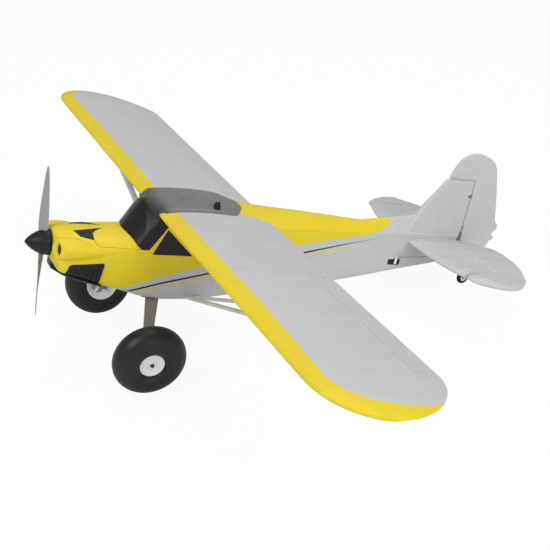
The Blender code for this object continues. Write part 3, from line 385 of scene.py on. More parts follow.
# Hatch stations: the hood runs on under the windscreen's foot
hoodTable = np.vstack([hullTable[:7], [
    (-10, 59.6, -40.6, -66, -156, 11, 2.1), (20, 60, -40, -65, -160, 11, 2.1)]])
# Chin stations: a blunt front, a flat belly and tight corners
chinTable = np.array([
    (-168.2, 15.5, -50, -76, -123, 2.5, 2.1), (-163.5, 24, -48, -74, -123.8, 5, 2.1),
    (-156, 33.5, -47, -72, -125.8, 6, 2.1), (-145, 43.5, -46, -72, -128.9, 8, 2.1),
    (-102, 52.6, -44, -70, -138.2, 9, 2.1), (-70, 56, -43, -69, -144.5, 9, 2.1)])
hull = {"front": -173.0, "rear": 716.5, "cabin": (-104.0, 175.0), "wall": 6.5, "blockHalf": 95.0,
        "steps": ((-173, -150, 15), (-146, -56, 18), (-52, 0, 27), (4, 240, 48), (250, 716.5, 50))}


# Half width, top, shoulder, belly, corner and power at a station, each a smooth curve through its column
def hullRow(y, table=hullTable):
    return [smoothCurve(table[:, 0], table[:, i], y) for i in range(1, 7)]


# Rings of the fuselage: flat belly, round corner, flat side, and a roof that is a quarter of a superellipse
def hullRings(y, grow, table):
    half, top, shoulder, belly, corner, power = [v[:, None] for v in hullRow(y, table)]
    half, top, belly = half + grow, top + grow, belly - grow
    corner = np.maximum(corner + grow, 1.0)
    base = belly + corner
    flat = np.linspace(0, 1, 4)[None, :-1]
    turn = np.linspace(-np.pi / 2, 0, 8)[None]
    rise = np.linspace(0, 1, 9)[None, 1:-1]
    arch = np.linspace(0, np.pi / 2, 17)[None]
    x = np.concatenate([flat * (half - corner), half - corner + corner * np.cos(turn), half + 0 * rise,
                        half * np.maximum(np.cos(arch), 1e-9) ** (2 / power)], axis=1)
    z = np.concatenate([belly + 0 * flat, base + corner * np.sin(turn), base + rise * (shoulder - base),
                        shoulder + (top - shoulder) * np.maximum(np.sin(arch), 1e-9) ** (2 / power)], axis=1)
    x[:, -1] = 0
    x = np.concatenate([x, -x[:, -2:0:-1]], axis=1)
    z = np.concatenate([z, z[:, -2:0:-1]], axis=1)
    return np.stack([x, np.broadcast_to(y[:, None], x.shape), z], axis=-1)


# Distance of the fuselage's side from the middle at a height
def hullX(y, z):
    half, top, shoulder, belly, corner, power = hullRow(y)
    low = ramp(z, belly + corner, belly)
    high = ramp(z, shoulder, top)
    x = half - corner * (1 - np.sqrt(1 - low ** 2))
    return x * np.maximum(1 - high ** power, 0) ** (1 / power)


# Height of the fuselage's roof at a distance from the middle
def hullZ(x, y):
    half, top, shoulder, belly, corner, power = hullRow(y)
    share = np.clip(np.abs(x) / half, 0, 1)
    return shoulder + (top - shoulder) * np.maximum(1 - share ** power, 0) ** (1 / power)


# Stretch of the fuselage from front to rear, with stations closer where its outline turns
def hullPiece(name, front, rear, grow=0.0, table=hullTable):
    fine = np.concatenate([np.linspace(*run) for run in hull["steps"]])
    inner = fine[(fine > front + 0.5) & (fine < rear - 0.5)]
    return skin(name, hullRings(np.concatenate([[front], inner, [rear]]), grow, table))


# Block cut out in side view, wider than the fuselage
def sideBlock(name, outline):
    return skin(name, slices(outline, (-hull["blockHalf"], hull["blockHalf"])))


paintLines = {
    "edge": ([-175, -95, -78, -60, -50, -31, 23.4, 108, 199, 300, 400, 469, 500, 516, 526, 534, 720],
             [-175, -165, -153, -144, -140.7, -133.6, -114.3, -90.3, -69, -47.8, -33.2, -24, -17, -11, -4, 40,
              60]),
    "pin": ([-41, 26, 120, 320, 404, 498], [-146.9, -127.4, -104.8, -62.6, -47.6, -32.5]), "pinTaper": 160.0,
    "thin": ([-15, 25, 122, 330, 407, 476], [-145.0, -134.6, -110.3, -68.4, -56.4, -45.8]), "thinTaper": 90.0,
    "bar": ((-5.5, -61.0), (20.4, -19.2)), "sill": -61.8, "noseRear": -60.0}


# Height above a painted line, made large beyond the line's ends, so that the line tapers off
def lineRule(line, taper, start=14.0, away=50.0):
    ys, zs = line

    def rule(p):
        y = p[:, 1]
        off = p[:, 2] - np.interp(y, ys, zs)
        reach = plateau(y, ys[0], ys[0] + start, ys[-1] - taper, ys[-1])
        return np.where(reach > 0, off / np.maximum(reach, 0.02), away)
    return rule


# Height above the dark front's slanted rear edge, square to it
def darkRule(p):
    (y0, z0), (y1, z1) = paintLines["bar"]
    return ((p[:, 2] - z0) * (y1 - y0) - (p[:, 1] - y0) * (z1 - z0)) / math.hypot(y1 - y0, z1 - z0)


# Fuselage shell with the canopy's opening and the cabin cut out
screenFoot = [(-20.5, -62), (-27.5, -55.3), (-33.4, -48.4), (-40.3, -43.3), (-46, -41.5)]
hatchFront = [(-105.3, -47), (-104.3, -55.4), (-99.5, -62)]
canopy = {"gap": 0.35, "opening": [(-106, 40)] + hatchFront + [(-12.6, -62), (-12.6, 40)]}
fuselage = hullPiece("fuselageShell", hull["front"], hull["rear"])
carve(fuselage, sideBlock("opening", inset(canopy["opening"], -canopy["gap"])))
carve(fuselage, hullPiece("cabin", *hull["cabin"], -hull["wall"]))
for zone, rule in (("darkFront", darkRule), ("sill", lambda p: paintLines["sill"] - p[:, 2]),
                   ("noseFront", lambda p: paintLines["noseRear"] - p[:, 1]),
                   ("greyBelow", lambda p: np.interp(p[:, 1], *paintLines["edge"]) - p[:, 2]),
                   ("pinLine", lineRule(paintLines["pin"], paintLines["pinTaper"])),
                   ("thinLine", lineRule(paintLines["thin"], paintLines["thinTaper"]))):
    measure(fuselage, zone, rule)
finishPiece(fuselage, "airframe", sideFoam, "yellow", "fuselage_left", "fuselage_right")

# Hatch and windscreen: stretches of their own sections, kept inside a side outline and hollowed
hatch = {"name": "batteryHatch", "outline": [(-106, 0)] + hatchFront + screenFoot + [(-46, 0)],
         "run": (-120.0, -10.0), "inside": (-104.0, 0.0), "wall": hull["wall"], "table": hoodTable,
         "look": (yellowFoam, "yellow", "battery_hatch")}
screen = {"name": "windscreen", "outline": [(-46, 40)] + screenFoot[::-1] + [(-12.05, -62), (-12.05, 40)],
          "run": (-60.0, -5.0), "inside": (-58.0, -2.0), "wall": 3.0, "table": screenTable,
          "look": (screenBlack, "black", "windscreen")}
for part in (hatch, screen):
    piece = hullPiece(part["name"], *part["run"], 0.0, part["table"])
    carve(piece, sideBlock("outlineBlock", inset(part["outline"], canopy["gap"])), 'INTERSECT')
    carve(piece, hullPiece("hollow", *part["inside"], -part["wall"], part["table"]))
    finishPiece(piece, "canopy", *part["look"])

chin = {"run": (-168.2, -70.0),
        "outline": [(-190, -92), (-173.5, -94), (-169, -105.7), (-162.2, -113.9), (-150.6, -119.8),
                    (-143.4, -122), (-84, -136.2), (-84, -175), (-190, -175)]}
piece = hullPiece("chinCowl", *chin["run"], 0.0, chinTable)
carve(piece, sideBlock("chinBlock", chin["outline"]), 'INTERSECT')
finishPiece(piece, "airframe", matteBlack, "black", "chin_cowl")
print("fuselage shell, hatch, windscreen and chin made")


# Thin plate that follows the fuselage's side inside an outline; its rim is lower than its middle
def sidePlate(outline, lift, corner, rim=1.5, depth=3.0):
    path = evenPath(roundedPath(outline, corner), 120)
    middle = path.mean(axis=0)
    far = np.linalg.norm(path - middle, axis=1).mean()
    shrink = np.concatenate([[1.0, 1.0], 1.0 - np.array([0.3, 1.0]) * rim / far, np.linspace(0.85, 0.02, 7)])
    raised = np.concatenate([[-depth, lift * 0.4], [lift * 0.9, lift], np.full(7, lift)])
    flat = middle + (path - middle)[None] * shrink[:, None, None]
    x = hullX(flat[..., 0], flat[..., 1]) + raised[:, None]
    return np.concatenate([x[..., None], flat], axis=-1)


pane = {"outline": [(0.5, -70.0), (22.8, -20.5), (79.5, -71.0)], "lift": 0.5, "corner": 1.5}
panel = {"outline": [(-145.0, -100.5), (-82.6, -92.5), (-89.5, -137.0), (-150.0, -121.5)], "lift": 1.0,
         "corner": 6.0, "rim": 2.0}
pair("sideWindow", sidePlate(**pane), "airframe", screenBlack, "black", "window_")
pair("louvrePanel", sidePlate(**panel), "airframe", matteBlack, "black", "louvre_")

# Louvre blades: bent strips standing out of the panel, leaning back
louvre = {"blades": 7, "first": -139.5, "pitch": 7.9, "stand": 3.4, "lean": 4.6, "rake": 4.0,
          "low": ((-152.0, -90.0), (-118.5, -133.5)), "high": ((-147.0, -84.6), (-104.0, -97.0))}
at = louvre["first"] + louvre["pitch"] * np.arange(louvre["blades"])
v = np.linspace(0, 1, 9)
low, high = [np.interp(at, *louvre[limit])[:, None] for limit in ("low", "high")]
z = high + (low - high) * v
y = at[:, None] - louvre["rake"] * v
section = np.array([(0.0, -1.0), (0.0, 1.6), (louvre["lean"], 1.6 + louvre["stand"]),
                    (louvre["lean"] + 1.0, 1.2 + louvre["stand"]), (1.6, -1.0)])
bow = 0.25 + 0.75 * (1 - (2 * v - 1) ** 4)
x = hullX(y, z)[..., None] + section[:, 1] * bow[:, None]
y = y[..., None] + section[:, 0]
grid = np.stack([x, y, np.broadcast_to(z[..., None], y.shape)], axis=-1)
pair("louvreBlades", grid, "airframe", matteBlack, "black", sharp=25.0)

# Nose vents: black plates on top of the cowl, painted shade for the vent recesses, with a thin dark tail over
# the hatch, a painted shadow of the gap beside the nose panel
vents = {
    "ventRecessShade": [(16.5, -138.8), (33.2, -129.5), (41.8, -105.7), (11.0, -105.7), (13.4, -120.0)],
    "ventGapShadow": [(11.0, -104.9), (25.5, -104.9), (17.0, -97.5), (6.5, -81.8), (9.2, -95.0)],
    "corner": 1.2, "shrink": [1.0, 1.0, 0.95, 0.6, 0.03], "rise": [-2.0, 0.1, 0.4, 0.4, 0.4]}
for name, body in (("ventRecessShade", "airframe"), ("ventGapShadow", "canopy")):
    path = evenPath(roundedPath(vents[name], vents["corner"]), 90)
    middle = path.mean(axis=0)
    flat = middle + (path - middle) * np.array(vents["shrink"])[:, None, None]
    z = hullZ(flat[..., 0], flat[..., 1]) + np.array(vents["rise"])[:, None]
    pair(name, np.concatenate([flat, z[..., None]], axis=-1), body, matteBlack, "black")

# Ring behind the spinner
thrustLine = -77.8
nose = {"inner": 19.0, "outer": 24.6, "deep": 14.0}
ring = [(nose["deep"], nose["inner"]), (1.5, nose["inner"]), (0.3, nose["inner"] + 1.2),
        (0.0, nose["outer"] - 3.5), (0.6, nose["outer"] - 1.4), (2.0, nose["outer"] - 0.3),
        (4.0, nose["outer"] + 0.3), (nose["deep"], nose["outer"] + 0.3)]
finishPiece(lathe("noseRing", ring, (0, hull["front"], thrustLine), (0, 1, 0), 72, loop=True), "airframe",
            yellowFoam, "yellow")

# Cylinder cheeks: ovals that swell and fade along the nose, turned in at the front to an intake
cheek = {"y": [-76, -84, -100, -120, -140, -156, -164, -168.5, -170.5, -171.2, -170.6, -168, -162],
         "x": [43, 42, 41, 40, 40, 40, 40.2, 40.8, 42.2, 43.8, 45.0, 45.5, 45.3],
         "out": [9.5, 12.5, 15.6, 18.0, 19.4, 19.0, 17.6, 15.4, 12.2, 9.2, 7.0, 5.8, 5.2],
         "tall": [3.0, 8.0, 13.5, 17.5, 20.2, 20.6, 19.6, 18.0, 15.8, 13.4, 11.8, 10.8, 10.2],
         "z": [-79, -77, -75, -74, -73, -72.6, -72.4, -72.2, -72, -72, -72, -72, -72],
         "slant": 0.55, "from": 43.0}
intake = {"x": 45.3, "z": -72.0, "y": [-166.6, -165.8, -158.0, -148.0], "out": [6.6, 5.9, 5.2, 4.8],
          "tall": [11.6, 11.0, 10.2, 9.6]}


# Ovals of a cheek: a centre with a half width and height at each place, leaning back on the outer side
def cheekRings(x0, y, z0, out, tall, lean):
    turn = circle(48)
    x = x0 + out * np.cos(turn)
    return np.stack([x, y + cheek["slant"] * lean * (x - cheek["from"]), z0 + tall * np.sin(turn)], axis=-1)


at = np.arange(len(cheek["y"]))
t = np.linspace(0, at[-1], 61)
x0, y, z0, out, tall = [smoothCurve(at, cheek[k], t)[:, None] for k in ("x", "y", "z", "out", "tall")]
grid = cheekRings(x0, y, z0, out, tall, ramp(t, 5.0, 9.0)[:, None])
pair("cylinderCheek", grid, "airframe", yellowFoam, "yellow")
# Intake: a dark olive cup just inside the intake, painted shade for the deep recess
y, out, tall = [np.array(intake[k])[:, None] for k in ("y", "out", "tall")]
grid = cheekRings(intake["x"], y, intake["z"], out, tall, 1.0)  # a shaded cup just inside the intake
pair("intakeShadeCup", grid, "airframe", intakePaintedShade, "black")
print("nose and windows made")

# Wing panels
wing = {
    "span": 1500.0, "chord": 235.5, "camber": 0.036, "thick": 0.115, "trail": 2.4, "dihedral": 0.008,
    "incidence": math.radians(1.5), "root": 40.0, "lead": 2.5, "noseUp": 3.6, "noseTo": 0.3, "topDrop": 3.5,
    "dropTo": 0.76, "tipLead": 105.0, "tipTrail": 117.0, "tipAt": 0.40, "tipPower": 1.8, "tipRun": 110.0,
    "ribPitch": 47.0, "ribSag": 0.55, "sagChord": (0.16, 0.24, 0.955, 0.985), "sagSpan": (75, 95, 675, 735)}
aileron = {"inner": 304.6, "outer": 640.0, "hinge": 182.0, "gap": 0.5, "endGap": 0.8, "bevel": 7.5}
band = {"x": [60, 430, 572, 640], "y": [34, 34.5, 31, 29], "softX": [60, 300, 600], "soft": [14, 9, 3],
        "tipCentre": (640, 95), "tipTurn": [-96, -61, -32, 2, 27, 52, 58, 70],
        "tipReach": [66, 70, 76, 84, 96, 117, 140, 300]}


# Height of the section, as a share of the chord: its camber line plus or minus its half thickness
def sectionZ(share, upper):
    half = 5 * wing["thick"] * (0.2969 * np.sqrt(share) - 0.126 * share - 0.3516 * share ** 2
                                + 0.2843 * share ** 3 - 0.1015 * share ** 4)
    half = half + 0.5 * wing["trail"] / wing["chord"] * share
    return 4 * wing["camber"] * share * (1 - share) + np.where(upper, half, -half)


# Leading and trailing edge: straight, then at the tip a quarter oval in front and a superellipse behind
def wingEdges(x):
    middle, tip, power = wing["tipAt"] * wing["chord"], wing["span"] / 2, wing["tipPower"]
    front, rear = [ramp(x, tip - wing[reach], tip) for reach in ("tipLead", "tipTrail")]
    lead = middle - (middle - wing["lead"]) * np.sqrt(1 - front ** 2)
    trail = middle + (wing["chord"] - middle) * np.maximum(1 - rear ** power, 0) ** (1 / power)
    return lead, trail


# Height of the skin: the section, a raised nose, a top lowered before the hinge and a sag between the ribs
def wingZ(x, y, upper):
    lead, trail = wingEdges(x)
    chord = np.maximum(trail - lead, 1e-6)
    share = np.clip((y - lead) / chord, 0, 1)
    z = sectionZ(share, upper) * (chord / wing["chord"]) ** 0.75 * wing["chord"]
    z = z + wing["noseUp"] * ramp(share, wing["noseTo"], 0) ** 2
    near = ramp(share, 0, wing["dropTo"])
    z = z - np.where(upper, wing["topDrop"] * 4 * near * (1 - near) * chord / wing["chord"], 0)
    wave = np.abs(np.sin(np.pi * x / wing["ribPitch"])) ** 0.7
    sag = wing["ribSag"] * wave * plateau(share, *wing["sagChord"]) * plateau(x, *wing["sagSpan"])
    z = z - np.where(upper, sag, -0.6 * sag)
    return z - y * math.sin(wing["incidence"]) + wing["dihedral"] * x


# Rings round the wing at each span place, from front limits on top and below to a rear limit
def wingRings(x, frontTop, frontLow, rear, count=34):
    s = 0.5 - 0.5 * np.cos(np.linspace(0, np.pi, count))
    top = frontTop[:, None] + (rear - frontTop)[:, None] * s[::-1]
    low = frontLow[:, None] + (rear - frontLow)[:, None] * s
    y = np.concatenate([top, low[:, 1:]], axis=1)
    upper = np.broadcast_to(np.arange(y.shape[1]) < count, y.shape)
    x = np.broadcast_to(x[:, None], y.shape)
    return np.stack([x, y, wingZ(x, y, upper)], axis=-1)


# Yellow inside the band: along the leading edge, then round the tip by angle
def bandRule(p):
    x, y = np.abs(p[:, 0]), p[:, 1]
    straight = (np.interp(x, band["x"], band["y"]) - y) / np.interp(x, band["softX"], band["soft"])
    dx, dy = x - band["tipCentre"][0], y - band["tipCentre"][1]
    bound = np.interp(np.degrees(np.arctan2(dy, dx)), band["tipTurn"], band["tipReach"])
    return np.where(dx < 0, straight, (np.hypot(dx, dy) - bound) / band["soft"][-1])


inner = np.linspace(wing["root"], aileron["inner"], 62)
bay = np.linspace(aileron["inner"] + 0.02, aileron["outer"], 76)
outer = wing["span"] / 2 - wing["tipRun"] * np.cos(np.linspace(0.0, np.pi / 2, 34)) - 0.4
outer[0] = aileron["outer"] + 0.02
lead, trail = wingEdges(np.concatenate([inner, bay, outer]))
trail[len(inner):-len(outer)] = aileron["hinge"]
grid = wingRings(np.concatenate([inner, bay, outer]), lead, lead, trail)
pair("wingPanel", grid, "airframe", wingFoam, "grey", "wing_", "yellowEdge", bandRule, 40.0)
x = np.linspace(aileron["inner"] + aileron["endGap"], aileron["outer"] - aileron["endGap"], 76)
front = np.full(len(x), aileron["hinge"] + aileron["gap"])
grid = wingRings(x, front, front + aileron["bevel"], wingEdges(x)[1], 18)
pair("aileron", grid, "aileron_", greyFoam, "grey", "aileron_", sharp=40.0)
print("wing made")

# Cover over the wing's middle: a dome with a stepped rim on the wing, draped over the cabin at the front,
# where a curved crease ends it
cover = {
    "y": [-14, 14, 138, 152, 166, 178.5], "half": [61, 61, 61, 58.5, 42, 24], "tailFrom": 3, "tailEnd": 10.4,
    "crestY": [-14, -12, -6, 0, 10, 25, 60, 100, 140, 152, 165, 178.5], "skirt": 3.5, "seat": 0.5,
    "crest": [13.6, 15.2, 17.4, 18.6, 19.8, 20.8, 22.2, 22.2, 18.6, 17.4, 16.2, 14.8], "rim": 0.9,
    "rimWide": 6.5, "step": 1.5, "foot": 1.5, "crease": -12.0, "sweep": 15.0, "sweepHalf": 62.0,
    "sweepPower": 1.5, "paintedShadeTo": 4.0, "paintedShadeRun": 70.0, "ledge": 0.8, "turnRun": (-6, 18)}


# How far the crease sweeps back at a distance from the middle
def creaseSweep(x):
    return cover["sweep"] * np.abs(x / cover["sweepHalf"]) ** cover["sweepPower"]


# Height of the cover's top: the rim's level plus a flattened dome, which turns into the cabin's roof in front
def coverZ(x, y):
    half = np.interp(y, cover["y"], cover["half"])
    share = np.clip(np.abs(x) / half, 0, 1)
    crest = smoothCurve(cover["crestY"], cover["crest"], y)
    tailY, tailHalf = cover["y"][cover["tailFrom"]], cover["half"][cover["tailFrom"]]
    edge = wingZ(half, np.maximum(y, 3.0), True) + cover["seat"]
    tailEdge = wingZ(tailHalf, tailY, True) + cover["seat"]
    edge = np.where(y > tailY, np.interp(y, [tailY, cover["y"][-1]], [tailEdge, cover["tailEnd"]]), edge)
    rim = edge + cover["rim"]
    ledge = ramp(half - share * half, cover["rimWide"], cover["rimWide"] - cover["ledge"])
    dome = rim + np.maximum(crest - rim, 0.3) * (1 - share ** 3) + cover["step"] * (1 - ledge)
    drape = np.maximum(hullZ(x, y) + crest - hullZ(0 * x, y), cover["foot"])
    turn = ramp(y, *cover["turnRun"])
    turn = turn * turn * (3 - 2 * turn)
    return drape * (1 - turn) + dome * turn


y = np.concatenate([np.linspace(-14, 20, 30), np.linspace(25, 140, 26), np.linspace(144, 178.5, 18)])[:, None]
s = np.linspace(-1, 1, 81)[None]
x = np.interp(y, cover["y"], cover["half"]) * s
z = coverZ(x, y + 0 * s)
ends = [-1, 0]
grid = np.stack([np.concatenate([x, x[:, ends]], axis=1), np.repeat(y, s.size + 2, axis=1),
              np.concatenate([z, z[:, ends] - cover["skirt"]], axis=1)], axis=-1)
piece = skin("wingCover", grid, sharp=30.0)
across = np.linspace(-cover["sweepHalf"], cover["sweepHalf"], 41)
front = np.stack([across, cover["crease"] + creaseSweep(across)], axis=1)
front = np.vstack([(-90, -60), (-90, front[0, 1]), front, (90, front[-1, 1]), (90, -60)])
carve(piece, skin("creaseBlock", slices(front, (-80.0, 80.0), 2)), sharp=30.0)
# Painted shade: the cover is painted darker at its front crease, fading out behind it over the shade run
measure(piece, "paintedFrontShade",
        lambda p: (cover["paintedShadeTo"] - p[:, 1] + creaseSweep(p[:, 0])) / cover["paintedShadeRun"])
finishPiece(piece, "airframe", coverGrey, "smoke", "wing_cover")

# Small switch on the cover: a block with two pegs, and a few dimples round it
switch = {"at": (46.0, 115.0), "base": (5.0, 5.5, 7.0), "peg": (2.0, 2.0, 4.5), "spread": 2.8, "sunk": 2.0}
dimples = {"at": [(-7, 43), (58, 38), (46, 81), (1, 113), (-2, 86), (12, 60), (30, 132)],
           "rings": ((1.3, -0.8), (1.3, 0.12), (0.9, 0.2), (0.5, 0.05))}
corner = roundedBox((-1, 1), (-1, 1), 0.35, 28)
foot = float(coverZ(*np.array(switch["at"])))
bits = []
for part, dy, low in (("base", 0.0, foot - switch["sunk"]), ("peg", switch["spread"], foot + 6.0),
                      ("peg", -switch["spread"], foot + 6.0)):
    wide, long, tall = switch[part]
    flat = np.array([1.0, 1.0, 0.85])[:, None, None] * corner * (wide, long)
    rise = np.array([low, low + tall + 1.0, low + tall + 1.8])[:, None, None] + 0 * flat[..., :1]
    bits.append(np.concatenate([flat + (switch["at"][0], switch["at"][1] + dy), rise], axis=-1))
finishPiece(skins("coverSwitch", np.stack(bits)), "airframe", matteBlack, "black")
turn = circle(16)
rows = np.array(dimples["rings"])[None, :, :, None]
spot = np.array(dimples["at"], float)[:, None, :, None]
x, y = spot[:, :, 0] + rows[:, :, 0] * np.cos(turn), spot[:, :, 1] + rows[:, :, 0] * np.sin(turn)
z = coverZ(spot[:, :, 0], spot[:, :, 1]) + rows[:, :, 1] + 0 * x
finishPiece(skins("coverDimples", np.stack([x, y, z], axis=-1)), "airframe", matteBlack, "black")
print("cover made")


# Upright tail piece: rings from the middle of one face to its outline, round the edge and back on the other
def tailPlate(name, outline, thick, reach, middle, widen=None, count=260):
    path = evenPath(roundedPath(outline, reach), count)
    r = thick * 0.46
    turn = np.linspace(-np.pi / 2, np.pi / 2, 11)
    rim = np.stack([inset(path, d) for d in r * (1 - np.cos(turn))])
    rimX = (thick / 2 - r) * np.sign(np.round(turn, 6)) + r * np.sin(turn)
    face = np.array(middle) + (rim[0] - middle) * np.array([0.02, 0.25, 0.5, 0.75, 0.9, 0.985])[:, None, None]
    flat = np.concatenate([face, rim, face[::-1]])
    x = np.concatenate([np.full(6, -thick / 2), rimX, np.full(6, thick / 2)])[:, None] + 0 * flat[..., 0]
    if widen:
        x = x * widen(flat[..., 0], flat[..., 1]) / (thick / 2)
    return skin(name, np.concatenate([x[..., None], flat], axis=-1), sharp=50.0)


# Rings of a level tail piece: along the span a round nose, a flat middle and a taper to the back edge
def tailRings(x, front, back, half, nose, edge):
    turn = np.linspace(np.pi / 2, 3 * np.pi / 2, 21)
    middle = (front + nose)[:, None]
    flat = np.minimum(np.maximum(tail["hinge"] + 4.0, middle[:, 0] + 2.0), back - 2.0)[:, None]
    half, edge, back = half[:, None], edge[:, None], back[:, None]
    t = np.linspace(0, 1, 12)[None]
    rest = middle + (flat - middle) * np.linspace(0.9, 0.1, 6)
    top = np.concatenate([back - (back - flat) * t, rest], axis=1)
    topZ = np.concatenate([edge + (half - edge) * (1 - (1 - t) ** 1.35), half + 0 * rest], axis=1)
    noseY, noseZ = middle + nose[:, None] * np.cos(turn), half * np.sin(turn)
    y = np.concatenate([top, noseY, top[:, ::-1]], axis=1)
    z = np.concatenate([topZ, noseZ, -topZ[:, ::-1]], axis=1) + tail["z"]
    return np.stack([np.broadcast_to(x[:, None], y.shape), y, z], axis=-1)


tail = {
    "hinge": 690.0, "z": -40.0, "half": 8.0, "edge": 1.5, "nose": 30.0, "ribPitch": 43.0, "stabRear": 681.5,
    "stabEdge": 7.6, "flapFront": 682.0, "inner": 13.0, "outer": 188.4, "tipInner": 188.7, "tip": 247.0,
    "rootTo": 29.0, "rootEdge": 4.5}
stabFront = np.array([(-187.5, 604), (-174, 598), (-123, 584), (-31, 576), (31, 576), (123, 584), (174, 598),
                      (187.5, 604)])
flapRear = np.array([(13, 702), (29, 752), (42, 775), (60, 784), (78, 786), (111, 784.5), (159, 771),
                     (188.4, 756.5)])
tipEdges = np.array([(188.7, 612, 756), (193, 608.5, 753.6), (199, 607.5, 750.5), (210, 611, 744),
                     (225, 629, 729.5), (238, 650, 714), (244.5, 668, 703), (247, 679, 694)])
tipHalf = ([188, 215, 225, 238, 244.5, 247], [8, 8, 7.6, 6.4, 4.4, 2.4])


# Nearness to a chordwise rib line, on level pieces, where a paler line is painted: a painted highlight for
# light on the rib ridges
def ribRule(p):
    return np.abs((np.abs(p[:, 0]) + 0.5 * tail["ribPitch"]) % tail["ribPitch"] - 0.5 * tail["ribPitch"])


# Span places with one on every rib line
def ribPlaces(start, end, count, ribs):
    return np.unique(np.concatenate([np.linspace(start, end, count), tail["ribPitch"] * ribs]))


x = ribPlaces(stabFront[0, 0], stabFront[-1, 0], 121, np.arange(-4, 5))
rear, half, nose, edge = [np.full(len(x), tail[k]) for k in ("stabRear", "half", "nose", "stabEdge")]
grid = tailRings(x, smoothCurve(*stabFront.T, x), rear, half, nose, edge)
piece = skin("stabiliser", grid, sharp=40.0)
measure(piece, "ribHighlight", ribRule)
finishPiece(piece, "airframe", tailFoam, "grey", "stabiliser")
inner = ribPlaces(tail["inner"], tail["outer"], 70, np.arange(1, 5))
outer = tail["tipInner"] + (tail["tip"] - tail["tipInner"]) * np.sin(np.linspace(0, np.pi / 2, 30))
tipFront, tipRear = [smoothCurve(tipEdges[:, 0], tipEdges[:, i], outer) for i in (1, 2)]
x = np.concatenate([inner, outer])
front = np.concatenate([np.full(len(inner), tail["flapFront"]), tipFront])
rear = np.concatenate([smoothCurve(*flapRear.T, inner), tipRear])
half = np.concatenate([np.full(len(inner), tail["half"]), np.interp(outer, *tipHalf)])
tipNose = np.minimum(tail["nose"], 0.4 * (tipRear - tipFront))
nose = np.concatenate([np.full(len(inner), tail["half"]), tipNose])
edge = np.minimum(np.interp(x, [tail["inner"], tail["rootTo"]], [tail["rootEdge"], tail["edge"]]), half)
grid = tailRings(x, front, rear, half, nose, edge)
pair("elevator", grid, "elevator", tailFoam, "grey", "elevator_", "ribHighlight", ribRule, 40.0)

fin = {"thick": 8.0, "root": -24.0, "cut": 97.5, "rear": 716.4, "swell": 2.4, "fadeFrom": 722.0,
       "fadeRun": 40.0, "corners": [5, 14, 30, 5, 4, 4], "middle": (668, 20)}
ridgeLine = {"y": [462, 529, 588, 640], "top": [-3, 6, 14, 20], "half": 2.6, "wide": 0.62, "slope": 24.0,
             "outline": [(462, -16), (462, -3), (529, 6), (588, 14), (624, 17), (624, -18), (560, -18)],
             "corners": [5, 5, 40, 30, 5, 5, 5], "middle": (572, -2), "yellowTo": (529.0, 6.0), "lean": 0.35}


# Half width of the fin: the rudder's at the top, swelling to the fuselage's at the root
def finHalf(y, z):
    low = ramp(z, fin["cut"], fin["root"]) ** fin["swell"]
    fade = np.clip((fin["fadeFrom"] - y) / fin["fadeRun"], 0.35, 1)
    return 0.5 * fin["thick"] + (0.96 * hullRow(y)[0] - 0.5 * fin["thick"]) * low * fade


# Half width of the ridge ahead of the fin: narrow along its top, wide at its foot
def ridgeHalf(y, z):
    top = np.interp(y, ridgeLine["y"], ridgeLine["top"])
    wide = ridgeLine["wide"] * hullRow(y)[0] - ridgeLine["half"]
    return ridgeLine["half"] + wide * ramp(z, top, top - ridgeLine["slope"])


# Yellow ahead of a line across the ridge that leans back as it rises
def ridgeRule(p):
    y, z = ridgeLine["yellowTo"]
    return y + ridgeLine["lean"] * (p[:, 2] - z) - p[:, 1]


outline = [(565, fin["root"]), (580, 2), (611, 47), (645.5, fin["cut"]), (fin["rear"], fin["cut"]),
           (fin["rear"], fin["root"])]
piece = tailPlate("fin", outline, fin["thick"], fin["corners"], fin["middle"], finHalf)
finishPiece(piece, "airframe", greyFoam, "grey", "fin")
piece = tailPlate("finRidge", ridgeLine["outline"], 2 * ridgeLine["half"], ridgeLine["corners"],
                  ridgeLine["middle"], ridgeHalf)
measure(piece, "yellowSide", ridgeRule)
finishPiece(piece, "airframe", ridgeFoam, "grey")

rudder = {
    "front": 717.0, "cut": fin["cut"] + 0.8, "foot": -66.0, "middle": (742, 124),
    "edge": [(657, 122), (668, 142), (683, 153), (705, 158), (735, 152), (755, 141), (766, 124), (776, 92),
             (787, 58), (799, 14), (804.5, 1), (805.5, -9), (801, -20), (803, -28), (800.5, -36)],
    "corners": [4, 5, 12, 12, 12, 16, 14, 14, 18, 18, 20, 8, 5, 5, 4, 4, 5, 8, 5]}
outline = [(rudder["front"], rudder["cut"]), (648, rudder["cut"])] + rudder["edge"] + [
    (788, rudder["foot"]), (rudder["front"], rudder["foot"])]
piece = tailPlate("rudder", outline, fin["thick"], rudder["corners"], rudder["middle"])
finishPiece(piece, "rudder", greyFoam, "grey", "rudder")

# Tabs on the rudder's rear edge: small rounded lobes of y, z, half length and half height
lobes = {"at": [(801.5, -4.0, 8.8, 11.0), (800.5, -29.0, 7.6, 6.0)], "half": 3.2,
         "rings": ((-1.0, 0.8), (-0.8, 0.93), (0.0, 1.0), (0.8, 0.93), (1.0, 0.8))}
turn = circle(36)
rows = np.array(lobes["rings"])[None, :, :, None]
y, z, long, tall = np.array(lobes["at"]).T[:, :, None, None]
grid = np.stack([lobes["half"] * rows[:, :, 0] + 0 * y * turn, y + rows[:, :, 1] * long * np.cos(turn),
              z + rows[:, :, 1] * tall * np.sin(turn)], axis=-1)
finishPiece(skins("rudderLobes", grid, sharp=60.0), "rudder", greyFoam, "grey")

